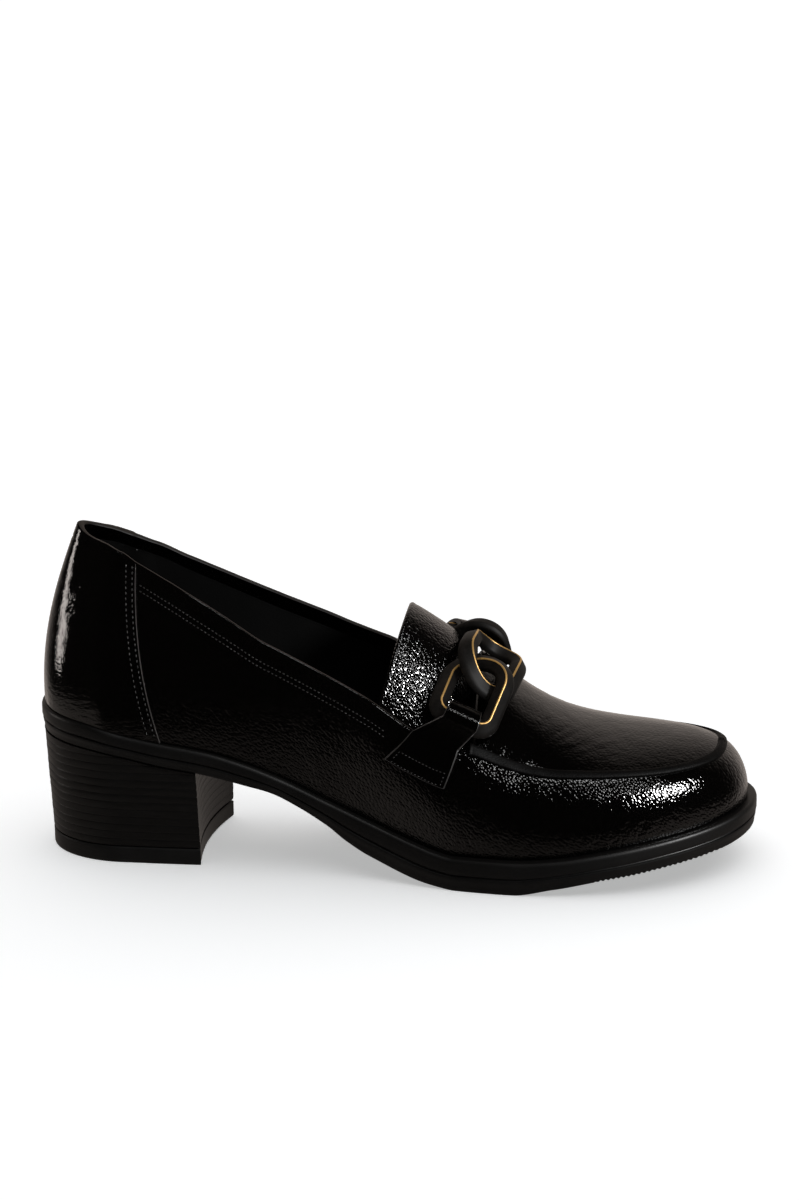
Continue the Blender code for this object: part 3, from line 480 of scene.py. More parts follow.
def link(name, data):
    """A new object in the scene."""
    made = bpy.data.objects.new(name, data)
    bpy.context.scene.collection.objects.link(made)
    return made


def piece(name, points, faces, looks, face_looks=None, sharp=None, replaces=(), closed=False):
    """Makes a piece from points in the last's millimetres; closed solids get their faces turned outwards."""
    mesh = bpy.data.meshes.new(name)
    mesh.from_pydata([to_metres(p) for p in points], [], faces)
    if closed:
        work = bmesh.new()
        work.from_mesh(mesh)
        bmesh.ops.recalc_face_normals(work, faces=work.faces)
        work.to_mesh(mesh)
        work.free()
    for look in looks:
        mesh.materials.append(look)
    if face_looks:
        mesh.polygons.foreach_set("material_index", face_looks)
    mesh.shade_smooth()
    if sharp:
        mesh.set_sharp_from_angle(angle=math.radians(sharp))
    made = link(name, mesh)
    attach(made, "root")
    if replaces:
        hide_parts(*replaces)
    return made


def sheet_faces(rows, columns, flip=False):
    faces = []
    for i in range(rows - 1):
        for j in range(columns - 1):
            a, b = i * columns + j, i * columns + j + 1
            c, d = b + columns, a + columns
            faces.append((a, d, c, b) if flip else (a, b, c, d))
    return faces


def round_faces(rows, columns, strips, flip=False):
    """Faces between rows of points that go round and meet again, in so many strips."""
    faces = []
    for i in range(rows):
        for j in range(strips):
            here, there = i * columns, (i + 1) % rows * columns
            a, b, c, d = here + j, here + (j + 1) % columns, there + (j + 1) % columns, there + j
            faces.append((a, d, c, b) if flip else (a, b, c, d))
    return faces


def fine_line(heel=44, step=1.0, toe=76):
    """Stations on one side, close together, with a pair of planes at the counter's front edge."""
    line = [i / heel for i in range(heel)]
    count = round((TOE_CENTRE - HEEL_CENTRE) / step)
    fixed = [COUNTER_TOP - 0.07, COUNTER_TOP + 0.07, THROAT]
    cross = [mix(HEEL_CENTRE, TOE_CENTRE, i / count) for i in range(count + 1)]
    cross = sorted([x for x in cross if min(abs(x - edge) for edge in fixed) > 0.35 * step] + fixed)
    return line + [x_station(x) for x in cross] + [2 + i / toe for i in range(1, toe + 1)]


def around(line):
    """Planes from the heel round the outer side to the toe and back along the inner side to the heel."""
    return [(-1, s) for s in line] + [(1, s) for s in reversed(line[:-1])]


def lean(station, s):
    if 1 <= station <= 2:
        return x_station(station_x(station) + counter_shift(station_x(station), s))
    return station


# What the photograph shows of the top line beyond the solid: station, millimetres up on the outer side
# and on the inner side
RIM_ROWS = (
    (0, 0.3, 0.3), (0.1, 0, 0.35), (0.2, -0.3, 0.46), (0.3, -0.35, 0.6), (0.4, -0.2, 0.75),
    (0.5, -0.15, 0.63), (0.6, -0.27, 0.29), (0.7, -0.42, -0.11), (0.8, -0.35, -0.27), (0.9, 0, -0.03),
    (1, 0.4, 0.3), (1.05, -0.2, -0.6), (1.1, -0.07, -0.4), (1.15, 0.1, -0.05), (1.2, 0.16, 0.03),
    (1.25, 0.04, 0.27), (1.3, -0.39, 0.6), (1.35, -0.86, 0.96), (1.4, -0.78, 0.95), (1.5, -0.4, 1.1),
    (1.6, -0.3, 0.95), (1.7, -0.7, 0.6), (1.8, -0.3, 0.2), (1.86, 0, 0),
)
RIM_LIFT = {-1: column(RIM_ROWS, 1), 1: column(RIM_ROWS, 2)}
RIM_LIFT_END = 1.86  # last station that it changes
RIM_BACK = 1.7  # how far the back of the top line is moved out, in millimetres
RIM_BACK_END = 0.9
EDGE_ROLL = 0.8  # height of the rolled edge over the leather's end
BAND = 5.4  # depth of the collar band over the counter
LINING_START = 4.3  # top of the lining below the edge's roll
LINING_GAP = 0.25  # between leather and lining
APRON_THICKNESS = 1.5


def side_wall(side, station, s):
    """The wall with its top line trued to the photograph, fading out below it."""
    point, normal = wall(side, lean(station, s), s)
    if station < RIM_LIFT_END:
        point = point + UP * (RIM_LIFT[side](station) * s**5)
    if station < RIM_BACK_END:
        fade = 1 - ease(station / RIM_BACK_END)
        point = point + plane(side, station)[1] * (RIM_BACK * fade * s**3)
    return point, normal


@functools.cache
def arc_length(side, station):
    """Length of the wall's curve in its plane."""
    points = [side_wall(side, station, i / 12)[0] for i in range(13)]
    return sum((b - a).length for a, b in zip(points, points[1:]))


def rim_step(station):
    """The counter's thickness where it runs out under the rolled edge."""
    if station >= COUNTER_STATION:
        return 0.0
    run = 16.0
    return COUNTER_STEP * ease((COUNTER_TOP - station_x(station)) / run if station > 1 else 1.0)


def wall_height(side, station, s, point):
    """Relief over the wall: the counter's thickness, the collar band's seam over it, and creases."""
    height = 0.0
    if station < COUNTER_STATION:
        depth = (1 - s) * arc_length(side, station)
        height = mix(rim_step(station), COUNTER_STEP, ease((depth - 1.0) / (BAND - 1.0)))
        height -= 0.22 * math.exp(-(((depth - BAND) / 0.4) ** 2))
    return height + soft(side, point, WALL_RELIEF)


# Creases: side, then station and share at each end, width and height in millimetres
WALL_CREASES = (
    (-1, 2.143, 0.371, 2.188, 0.495, 1.0, -0.14), (-1, 2.176, 0.309, 2.227, 0.433, 1.1, -0.16),
    (-1, 2.228, 0.309, 2.284, 0.453, 1.1, -0.16), (-1, 2.268, 0.312, 2.329, 0.490, 1.1, -0.18),
    (-1, 2.307, 0.297, 2.368, 0.513, 1.1, -0.18), (-1, 2.350, 0.297, 2.396, 0.462, 1.0, -0.14),
    (-1, 2.460, 0.119, 2.484, 0.286, 1.0, -0.12), (-1, 2.523, 0.109, 2.546, 0.281, 1.0, -0.12),
    (-1, 0.18, 0.74, 0.52, 0.72, 1.0, -0.16), (-1, 0.15, 0.68, 0.45, 0.655, 1.0, -0.14),
    (-1, 0.22, 0.60, 0.58, 0.575, 1.1, -0.14), (-1, 0.16, 0.50, 0.44, 0.485, 1.2, -0.12),
    (1, 2.18, 0.32, 2.23, 0.45, 1.1, -0.14), (1, 2.26, 0.31, 2.32, 0.48, 1.1, -0.15),
    (1, 2.34, 0.30, 2.39, 0.46, 1.0, -0.12), (1, 0.20, 0.66, 0.50, 0.64, 1.0, -0.12),
)
APRON_CREASES = (
    (-1, 2.238, 0.276, 2.644, 0.496, 1.0, -0.10), (-1, 2.282, 0.216, 2.583, 0.373, 0.9, -0.09),
    (-1, 2.134, 0.331, 2.443, 0.555, 1.1, -0.12), (-1, 2.088, 0.380, 2.401, 0.624, 1.1, -0.13),
    (-1, 1.994, 0.432, 2.123, 0.660, 1.1, -0.14), (-1, 1.978, 0.538, 1.991, 0.772, 1.0, -0.12),
    (-1, 1.958, 0.547, 1.968, 0.742, 1.0, -0.10), (-1, 2.402, 0.179, 2.648, 0.237, 0.9, -0.08),
    (1, 2.00, 0.45, 2.10, 0.70, 1.1, -0.12), (1, 2.10, 0.38, 2.36, 0.60, 1.1, -0.12),
    (1, 2.22, 0.28, 2.50, 0.46, 1.0, -0.10),
)


def ends(rows, surface):
    """Creases as (side, start, end, width, height) with their ends on the surface."""
    return [(side, surface(side, a, b)[0], surface(side, c, d)[0], width, height)
            for side, a, b, c, d, width, height in rows]


def soft(side, point, placed):
    """Height given to a point by soft troughs and ridges, each fading out towards its ends."""
    total = 0.0
    for which, start, end, width, height in placed:
        if which != side:
            continue
        along = end - start
        t = (point - start).dot(along) / along.length_squared
        if not -0.2 < t < 1.2:
            continue
        gap = (point - start - along * t).length / width
        if gap < 3:
            total += height * math.exp(-gap * gap) * ease((t + 0.2) / 0.4) * ease((1.2 - t) / 0.4)
    return total


WALL_RELIEF = ends(WALL_CREASES, side_wall)
APRON_RELIEF = ends(APRON_CREASES, apron)


def wall_point(side, station, s):
    point, normal = side_wall(side, station, s)
    return point + normal * wall_height(side, station, s, point), normal


def spread(t):
    """Rows lie closer together towards the top line."""
    return 1 - (1 - t) ** 1.25


def make_wall(looks):
    """The leather of the walls, with the counter's cut edge as a strip of its own light material: raw edge tone
    and painted highlight line.
    """
    line = fine_line()
    columns = around(line)
    count = 76
    points = []
    for i in range(count + 1):
        for side, station in columns:
            top = 1.0
            if station < THROAT_STATION:
                top = 1 - EDGE_ROLL / arc_length(side, station)
            s = top * spread(i / count)
            points.append(wall_point(side, station, s)[0])
    wide = len(columns)
    faces = sheet_faces(count + 1, wide)
    strip = [j for j in range(wide - 1)
             if {columns[j][1] < COUNTER_STATION, columns[j + 1][1] < COUNTER_STATION} == {True, False}]
    behind = [j for j in range(wide - 1) if columns[j][1] < COUNTER_STATION and j not in strip]
    kinds = {j: 1 for j in strip} | {j: 2 for j in behind}
    marks = [kinds.get(f % (wide - 1), 0) for f in range(len(faces))]
    return piece("wall_leather", points, faces, looks, marks,
                 replaces=("upper",), sharp=40)


def make_collar(looks):
    """The folded edge of the collar with the binding inside it."""
    line = [s for s in fine_line() if s <= THROAT_STATION + 1e-9]
    columns = [(1, s) for s in reversed(line)] + [(-1, s) for s in line[1:]]
    turns = 9
    depths = (0.4, 1.4, 2.6, 3.6, 4.4, 4.75, 4.9)
    rows = []
    for j in range(turns + len(depths)):
        row = []
        for side, station in columns:
            arc = arc_length(side, station)
            height = rim_step(station)
            point, normal = side_wall(side, station, 1 - EDGE_ROLL / arc)
            way = plane(side, station)[1]
            rise = (UP * normal.dot(way) - way * normal.z).normalized()
            thick = WALL + height
            if j < turns:
                angle = math.pi * j / (turns - 1)
                middle = point + normal * (height - thick / 2)
                a, b = math.cos(angle) * thick / 2, math.sin(angle) * EDGE_ROLL
                row.append(middle + normal * a + rise * b)
            else:
                k = j - turns
                s = 1 - (EDGE_ROLL + depths[k]) / arc
                base, out = side_wall(side, station, s)
                bulge = 0.0 if k < len(depths) - 1 else 0.3
                row.append(base - out * (WALL + bulge))
        rows.append(row)
    points = [point for row in rows for point in row]
    faces = sheet_faces(len(rows), len(columns), flip=True)
    # rows 2 to 6, the top of the roll, take the rim colour: a painted highlight line along the edge
    marks = [1 if 2 <= f // (len(columns) - 1) <= 6 else 0 for f in range(len(faces))]
    return piece("collar_binding", points, faces, looks, marks)


def make_lining(look):
    """Lining inside the wall, up to the apron seam in front."""
    line = fine_line(30, 2.5, 40)
    columns = around(line)
    count = 26
    points = []
    for i in range(count + 1):
        for side, station in columns:
            arc = arc_length(side, station)
            top = 1 - (EDGE_ROLL + LINING_START) / arc if station < THROAT_STATION else 1.0
            s = top * i / count
            base, out = side_wall(side, station, s)
            points.append(base - out * (WALL + LINING_GAP))
    faces = sheet_faces(count + 1, len(columns), flip=True)
    return piece("wall_lining", points, faces, [look])


def make_apron(looks):
    """The apron's leather inside the seam, with the thickness of its back edge."""
    line = [s for s in fine_line() if s >= THROAT_STATION - 1e-9]
    count = 34
    points = []
    faces = []
    marks = []
    for side in (-1, 1):
        start = len(points)
        for i in range(count + 1):
            q = (i / count) ** 1.15
            for station in line:
                point, normal = apron(side, station, min(q, 0.9999))
                points.append(point + normal * soft(side, point, APRON_RELIEF))
        wide = len(line)
        made = sheet_faces(count + 1, wide, flip=side > 0)
        faces += [tuple(v + start for v in face) for face in made]
        marks += [0] * len(made)
        # the back edge at the throat: rounded over the leather's thickness
        rim = [start + i * wide for i in range(count + 1)]
        turns = 5
        last = rim
        for k in range(1, turns + 1):
            angle = math.pi / 2 * k / turns
            row = []
            for i, corner in enumerate(rim):
                q = min((i / count) ** 1.15, 0.9999)
                point, normal = apron(side, line[0], q)
                back = Vector((-1, 0, 0)) * (math.sin(angle) * 0.7)
                row.append(len(points))
                points.append(points[corner] + back - normal * ((1 - math.cos(angle)) * APRON_THICKNESS))
            for a, b, c, d in zip(last, last[1:], row[1:], row):
                faces.append((a, b, c, d) if side > 0 else (a, d, c, b))
                marks.append(1 if k > 2 else 0)
            last = row
    return piece("apron_leather", points, faces, looks, marks)


SEAM_PROFILE = (
    (-1.60, -0.25), (-1.58, 0.25), (-1.50, 0.62), (-1.30, 0.86), (-0.95, 0.97), (-0.45, 1.02), (0.0, 1.04),
    (0.45, 1.02), (0.95, 0.97), (1.30, 0.86), (1.50, 0.62), (1.58, 0.25), (1.60, -0.25),
)


def seam_point(side, station, t, height):
    """Point over the seam, t millimetres from its middle towards the apron."""
    edge, low_normal = wall(side, station, 1.0)
    spine = plane(side, station)[0]
    across = math.hypot(edge.x - spine.x, edge.y - spine.y)
    high_normal = apron(side, station, 0.0)[1]
    share = ease((t + 1.5) / 3.0)
    normal = (low_normal * (1 - share) + high_normal * share).normalized()
    if t < 0:
        base = wall(side, station, 1 + t / arc_length(side, station))[0]
    else:
        base = apron(side, station, t / across)[0]
    return base + normal * height, normal


def make_seam(look):
    line = [s for s in fine_line() if s >= THROAT_STATION - 0.012]
    columns = around(line)
    rows = []
    for t, height in SEAM_PROFILE:
        rows.append([seam_point(side, station, t, height * SEAM_HEIGHT)[0] for side, station in columns])
    points = [point for row in rows for point in row]
    faces = sheet_faces(len(rows), len(columns))
    wide = len(columns)
    first = [row * wide for row in range(len(rows))]
    faces += [tuple(reversed(first)), tuple(v + wide - 1 for v in first)]
    return piece("apron_seam", points, faces, [look])


def tongue_start(share):
    """Where the free edge lies, across the tongue."""
    return THROAT - TONGUE_REACH - TONGUE_SWEEP * min(abs(share), 1.0) ** 2


def tongue_relief(depth):
    """A bead along the turned free edge, with the stitched line behind it."""
    bead, line = (math.exp(-(((depth - middle) / 0.4) ** 2)) for middle in (0.6, 1.9))
    return 0.10 * bead - 0.10 * line


def make_tongue(looks):
    """The tongue: leather outside with a rolled free edge, lining inside."""
    end = THROAT + TONGUE_LAP
    across = 90
    along = 60
    outer = []
    inner = []
    for i in range(along + 1):
        t = (i / along) ** 1.2
        for j in range(across + 1):
            share = mix(-1.10, 1.10, j / across)
            start = tongue_start(share)
            x = mix(start, end, t)
            point = tongue_surface(x, share)
            d = 0.01
            side_way = tongue_surface(x, share + d) - tongue_surface(x, share - d)
            ahead = tongue_surface(x + 0.5, share) - tongue_surface(x - 0.5, share)
            normal = ahead.cross(side_way).normalized()
            # the free edge is rolled: both sheets draw together over the last 1.3 mm
            near = min((x - start) / 1.3, 1.0)
            roll = (1 - math.sqrt(max(0.0, 1 - (1 - near) ** 2))) * TONGUE_THICKNESS / 2
            outer.append(point - normal * roll + normal * tongue_relief(x - start))
            inner.append(point - normal * (TONGUE_THICKNESS - roll))
    wide = across + 1
    count = len(outer)
    faces = sheet_faces(along + 1, wide, flip=True)
    marks = [0] * len(faces)
    back = [tuple(v + count for v in reversed(face)) for face in faces]
    faces += back
    marks += [1] * len(back)
    for i in range(along):
        a, b = i * wide, (i + 1) * wide
        faces.append((a, b, b + count, a + count))
        faces.append((b + wide - 1, a + wide - 1, a + wide - 1 + count, b + wide - 1 + count))
        marks += [0, 0]
    for j in range(across):
        faces.append((j + 1, j, j + count, j + 1 + count))
        marks.append(0)
    return piece("tongue_leather", outer + inner, faces, looks, marks,
                 replaces=("tongue",), closed=True)


def strap_spot(side, t, c):
    """Place under the strap's body, t from its foot to the top line and c across it."""
    middle = THROAT - FLANGE_BACK + STRAP_SWEEP * t
    half = mix(FLANGE_WIDTH, STRAP_WIDTH, FLANGE_TAPER * t) / 2
    point, normal = wall(side, x_station(middle + half * c), mix(FLANGE_FOOT, FLANGE_TOP, t))
    return point + normal * (GAP + STRAP_LIFT * t * t), normal


def flange_paths(side):
    """The stitched outline of the strap's sewn end."""
    corners = ((0.40, -0.84), (0.045, -0.84), (0.045, 0.84), (0.40, 0.84), (0.40, -0.84))
    paths = []
    for (t0, c0), (t1, c1) in zip(corners, corners[1:]):
        path = []
        for i in range(31):
            point, normal = strap_spot(side, mix(t0, t1, i / 30), mix(c0, c1, i / 30))
            path.append((point + normal * STRAP_THICKNESS, normal))
        paths.append(path)
    return paths


def fine_strap(side, ring):
    """Rows of (point, outward) across the strap, from its sewn foot over the bar to its turned-in end."""
    across = [-1.0, -0.965, *(mix(-0.93, 0.93, j / 20) for j in range(21)), 0.965, 1.0]
    rows = []
    body = 36
    for t in [0.0, 0.012, *(mix(0.024, 1.0, i / body) for i in range(body + 1))]:
        rows.append([strap_spot(side, t, c) for c in across])
    radius = math.hypot(RING_BAND / 2, RING_FOOT) + GAP
    first = math.atan2(Vector((0, side, 0)).dot(ring.up), -side * ring.along.y)
    last = math.radians(STRAP_WRAP)
    loop = 30
    for i in range(loop + 1):
        angle = mix(first, last, i / loop)
        spoke = ring.along * -math.cos(angle) + ring.up * math.sin(angle)
        half = mix(STRAP_WIDTH, STRAP_END, ease(i / (0.7 * loop))) / 2
        rows.append([(ring.at(c * half, 0) + spoke * radius, spoke) for c in across])
    turn = ring.along * math.sin(last) + ring.up * math.cos(last)
    rows.append([(point + turn * STRAP_TAIL, normal) for point, normal in rows[-1]])
    return rows


def make_strap(side, ring, looks):
    rows = fine_strap(side, ring)
    wide = len(rows[0])
    inner = [point for row in rows for point, _ in row]
    outer = []
    for row in rows:
        for j, (point, normal) in enumerate(row):
            edge = min(j, wide - 1 - j)
            drop = (0.18, 0.05)[edge] if edge < 2 else 0.0
            outer.append(point + normal * (STRAP_THICKNESS - drop))
    count = len(outer)
    top = sheet_faces(len(rows), wide)
    faces = list(top) + [tuple(v + count for v in reversed(face)) for face in top]
    marks = [0] * len(faces)
    for f in range(len(top)):
        if f % (wide - 1) in (0, wide - 2) or f < wide - 1:
            marks[f] = marks[f + len(top)] = 2
    # sides and ends take the light cut-edge material: the raw edge's tone with a painted highlight line
    for i in range(len(rows) - 1):
        for j, way in ((0, 1), (wide - 1, -1)):
            a, b = i * wide + j, (i + 1) * wide + j
            faces.append((a, b, b + count, a + count) if way > 0 else (b, a, a + count, b + count))
            marks.append(1)
    last = (len(rows) - 1) * wide
    for j in range(wide - 1):
        faces.append((j + 1, j, j + count, j + 1 + count))
        faces.append((last + j, last + j + 1, last + j + 1 + count, last + j + count))
        marks += [1, 1]
    name = "strap_lateral" if side < 0 else "strap_medial"
    return piece(name + "_leather", outer + inner, faces, looks, marks,
                 replaces=(name,), closed=True, sharp=35)


MEDIAL_DROP = 1.1  # how far the medial ring's arch is lowered towards the photograph's

# Section of a ring as shares of its band and crest, outer side positive: a ridge with a deep outer flank
RING_PROFILE = (
    (-0.50, -0.20), (-0.485, -0.36), (-0.44, -0.50), (-0.36, -0.571), (0.0, -0.60), (0.40, -0.72),
    (0.54, -0.74), (0.62, -0.66), (0.645, -0.50), (0.60, -0.10), (0.54, 0.14), (0.42, 0.36), (0.22, 0.69),
    (0.09, 0.93), (0.045, 0.985), (0.0, 1.0), (-0.045, 0.985), (-0.09, 0.93), (-0.22, 0.69),
    (-0.40, 0.37), (-0.475, 0.22), (-0.50, 0.08),
)


def ring_plan(ring):
    """Plan of the middle line: a bar with two corners, or a round end, then two sides and a round end."""
    half = RING_WIDTH / 2
    corner = half if ring.oval else RING_CORNER
    path = []
    flat = half - corner
    for middle, radius, first in ((0, half, 0), (-flat, corner, 180), (flat, corner, 270)):
        far = first == 0
        turn, count = (180, 44) if far else (90, 22 if ring.oval else 12)
        for i in range(count + 1):
            angle = math.radians(first + turn * i / count)
            centre = ring.reach - half if far else corner
            path.append((middle + radius * math.cos(angle), centre + radius * math.sin(angle)))
    even = []
    closed = path + path[:1]
    for (ax, ay), (bx, by) in zip(closed, closed[1:]):
        length = math.hypot(bx - ax, by - ay)
        if length < 0.05:
            continue
        steps = max(1, round(length / 0.7))
        even += [(mix(ax, bx, k / steps), mix(ay, by, k / steps)) for k in range(steps)]
    return even


def ring_frames(ring):
    spots = [ring.at(*point) for point in ring_plan(ring)]
    count = len(spots)
    frames = []
    for i in range(count):
        tangent = (spots[(i + 1) % count] - spots[i - 1]).normalized()
        outward = tangent.cross(ring.up).normalized()
        up = outward.cross(tangent).normalized()
        frames.append((spots[i], outward, up))
    return frames


def make_ring(ring, look):
    frames = ring_frames(ring)
    points = []
    for spot, outward, up in frames:
        points += [spot + outward * (a * RING_BAND) + up * (b * RING_CREST) for a, b in RING_PROFILE]
    faces = round_faces(len(frames), len(RING_PROFILE), len(RING_PROFILE))
    piece(ring.name + "_bar", points, faces, [look], replaces=(ring.name,),
          closed=True, sharp=50)


GILT_PROFILE = ((-0.42, 2.55), (-0.32, 2.77), (-0.14, 2.88), (0.14, 2.88), (0.32, 2.77), (0.42, 2.55))
GILT_SHARES = ((0.0, 1.0), (0.0, 1.0), (0.6, 0.92))  # where each ring's line starts and ends


def make_gold_line(ring, look, shares):
    """A thin gilt line on the ridge, along the part of the ring given by shares of its way round."""
    frames = ring_frames(ring)
    count = len(frames)
    first, last = int(shares[0] * count), int(shares[1] * count)
    chosen = [frames[i % count] for i in range(first, last + 1)]
    points = []
    for spot, outward, up in chosen:
        points += [spot + outward * a + up * b for a, b in GILT_PROFILE]
    faces = sheet_faces(len(chosen), len(GILT_PROFILE), flip=True)
    piece(ring.name + "_line", points, faces, [look])


def sole_rows(side, station):
    """Section of the sole: ledge, rounded edge, band, groove, lower band and underside."""
    spine, way, reach = plane(side, station)
    ledge = welt_width(station)

    def at(distance, height):
        point = spine + way * max(distance, 0.0)
        return Vector((point.x, point.y, height(point.x)))

    def part(share):
        return lambda x: mix(sole_bottom(x), sole_top(x), share)

    def raised(drop):
        return lambda x: sole_top(x) + WELT_RISE - drop

    half = GROOVE_HALF / SOLE_THICKNESS
    place = GROOVE_PLACE
    low = LOWER_INSET
    edge_x = (spine + way * reach).x
    tread = tread_cut(edge_x)
    rows = [
        *(at(reach * share, raised(0)) for share in (0.0, 0.3, 0.6)),
        at(reach - ledge - 1.0, raised(0)),
        at(reach - ledge, raised(0)),
        at(reach - ledge * 0.62, raised(0.02)),
        at(reach - 1.05, raised(0.06)),
        at(reach - 0.72, raised(0.16)),
        at(reach - 0.40, raised(0.42)),
        at(reach - 0.16, raised(0.80)),
        at(reach - 0.03, raised(1.25)),
        at(reach, raised(1.8)),
        at(reach, part(place + half + 0.17)),
        at(reach, part(place + half + 0.05)),
        at(reach - 0.10, part(place + half)),
        at(reach - GROOVE_DEPTH * 0.8, part(place + half * 0.6)),
        at(reach - GROOVE_DEPTH, part(place)),
        at(reach - GROOVE_DEPTH * 0.85, part(place - half * 0.6)),
        at(reach - low * 0.45, part(place - half)),
        at(reach - low * 0.35, part(place - half - 0.04)),
        at(reach - low * 0.5, part(place - half - 0.14)),
        at(reach - low * 0.8, part(0.28)),
        at(reach - low * 0.95, part(0.17)),
        at(reach - low, lambda x: sole_bottom(x) + 0.75),
        at(reach - low - 0.12, lambda x: sole_bottom(x) + 0.30 + tread),
        at(reach - low - 0.40, lambda x: sole_bottom(x) + tread),
        at(reach - low - 3.5, lambda x: sole_bottom(x) + tread),
        *(at(reach * share, sole_bottom) for share in (0.8, 0.6, 0.4, 0.2, 0.0)),
    ]
    return rows


TREAD_START, TREAD_END = 196, 243  # reach of the fine cuts in the sole's lower edge
TREAD_FADE = 6
TREAD_PITCH = 1.75
TREAD_DEPTH = 0.62


def tread_cut(x):
    """Depth of the grooves across the underside where they meet the edge near the toe."""
    if not TREAD_START < x < TREAD_END:
        return 0.0
    fade = ease((x - TREAD_START) / TREAD_FADE) * ease((TREAD_END - x) / TREAD_FADE)
    wave = 0.5 - 0.5 * math.cos(2 * math.pi * x / TREAD_PITCH)
    return TREAD_DEPTH * fade * wave**1.5


def cross_line(end, step):
    """Stations of planes across the foot, from the heel's fan up to x = end."""
    line = []
    x = HEEL_CENTRE
    while x < end:
        line.append(x_station(x))
        x += step
    return line


def make_outsole(look):
    line = [i / 40 for i in range(40)] + cross_line(TOE_CENTRE - 0.01, 1.5)
    line += [2 + i / 190 for i in range(191)]
    columns = around(line)[:-1]
    points = []
    for side, station in columns:
        points += sole_rows(side, station)
    wide = len(points) // len(columns)
    faces = round_faces(len(columns), wide, wide - 1, flip=True)
    return piece("outsole_rubber", points, faces, [look], replaces=("outsole",),
                 sharp=45)


def heel_columns():
    front = x_station(HEEL_FRONT)
    line = [i / 48 for i in range(48)] + cross_line(HEEL_FRONT - 0.6, 1.2) + [front]
    return [(-1, s) for s in reversed(line)] + [(1, s) for s in line[1:]], front


def block(name, low, high, drop, levels, look, replaced):
    """Heel or tip: side walls by levels of (height in mm, inset in mm), with a curved breast in front."""
    columns, front = heel_columns()
    inner_parts = (0.8, 0.6, 0.4, 0.2, 0.0)
    breast_parts = [(-1, 1 - i / 14) for i in range(14)] + [(1, i / 14) for i in range(15)]
    made = Builder()

    def spot(side, station, part, z, inset):
        point = heel_point(side, station, part, drop(z))
        _, way, _ = plane(side, station)
        top = high(point.x)
        inward = way * (-inset * part)
        if station == front:
            inward = inward + Vector((-inset, 0, 0))
        return Vector((point.x + inward.x, point.y + inward.y, min(z, top)))

    rows = []
    for side, station in columns:
        row = [made.add(spot(side, station, part, low, 0)) for part in reversed(inner_parts)]
        row += [made.add(spot(side, station, 1.0, z, inset)) for z, inset in levels]
        row += [made.add(spot(side, station, part, 999.0, 0)) for part in inner_parts]
        rows.append(row)
    for first, second in zip(rows, rows[1:]):
        made.strip(first, second)
    grid = []
    for z, inset in levels:
        grid.append([made.add(spot(side, front, part, z, inset)) for side, part in breast_parts])
    for first, second in zip(grid, grid[1:]):
        made.strip(first, second)
    return piece(name, made.points, made.faces, [look], replaces=(replaced,), closed=True,
                 sharp=50)


STACK_LAYER = 2.9  # height of a layer of the heel
STACK_TOP = 50.0  # no layer starts above this


def heel_levels():
    """Stacked layers, each with a fine groove at its joint."""
    z = TIP_THICKNESS + GAP
    levels = [(z, 0.35), (z + 0.3, 0.08)]
    layer = STACK_LAYER
    random.seed(4)
    while z < STACK_TOP:
        swell = random.uniform(-0.05, 0.07)
        levels += [(z + 0.7, 0.0 - swell), (z + layer * 0.5, -0.03 - swell), (z + layer - 0.32, 0.0 - swell),
                   (z + layer - 0.14, 0.05), (z + layer, 0.13), (z + layer + 0.14, 0.05)]
        z += layer
    return levels


def make_heel(look):
    top = sole_bottom(0.0)

    def drop(z):
        return min(max((top - z) / (top - TIP_THICKNESS), 0.0), 1.0)

    return block("heel_stack", TIP_THICKNESS + GAP, lambda x: sole_bottom(x) - GAP, drop, heel_levels(), look,
                 "heel")


def make_heel_tip(look):
    levels = [(0.0, 0.5), (0.15, 0.2), (0.5, 0.0), (1.6, 0.0), (2.6, 0.0), (3.6, 0.0), (4.6, 0.0),
              (TIP_THICKNESS - 0.35, 0.0), (TIP_THICKNESS - 0.1, 0.15), (TIP_THICKNESS, 0.45)]
    return block("heel_tip_rubber", 0.0, lambda x: TIP_THICKNESS, lambda z: 1.0, levels, look,
                 "heel_tip")


STITCH_SINK = 0.35  # how deep a stitch is pressed in, as a share of its thickness


def capsule(points, faces, start, end, normal, radius):
    """A small rounded stitch lying along the surface, pressed in at its ends."""
    along = end - start
    length = along.length
    along.normalize()
    side = along.cross(normal).normalized()
    up = side.cross(along)
    rings = ((0.0, 0.35, -0.9), (0.12, 0.8, -0.25), (0.32, 1.0, 0.0), (0.68, 1.0, 0.0), (0.88, 0.8, -0.25),
             (1.0, 0.35, -0.9))
    base = len(points)
    sides = 6
    for t, scale, lift in rings:
        centre = start + along * (length * t) + up * (radius * (lift + 1 - 2 * STITCH_SINK))
        for k in range(sides):
            angle = 2 * math.pi * k / sides
            a, b = math.cos(angle) * radius * scale, math.sin(angle) * radius * scale
            points.append(centre + side * a + up * b)
    for i in range(len(rings) - 1):
        for k in range(sides):
            a, b = base + i * sides + k, base + i * sides + (k + 1) % sides
            faces.append((a, b, b + sides, a + sides))


def stitch_row(name, paths, pitch, filled, radius, look):
    """Stitches along paths; a path is a list of (point, normal) close together."""
    points = []
    faces = []
    for path in paths:
        lengths = [0.0]
        for (a, _), (b, _) in zip(path, path[1:]):
            lengths.append(lengths[-1] + (b - a).length)

        def spot(distance):
            i = min(max(bisect.bisect_right(lengths, distance) - 1, 0), len(path) - 2)
            t = (distance - lengths[i]) / max(lengths[i + 1] - lengths[i], 1e-6)
            (a, n), (b, m) = path[i], path[i + 1]
            return a.lerp(b, t), n.lerp(m, t).normalized()

        count = int(lengths[-1] / pitch)
        for k in range(count):
            start = k * pitch
            a, normal = spot(start)
            b, _ = spot(start + pitch * filled)
            capsule(points, faces, a, b, normal, radius)
    return piece(name, points, faces, [look])


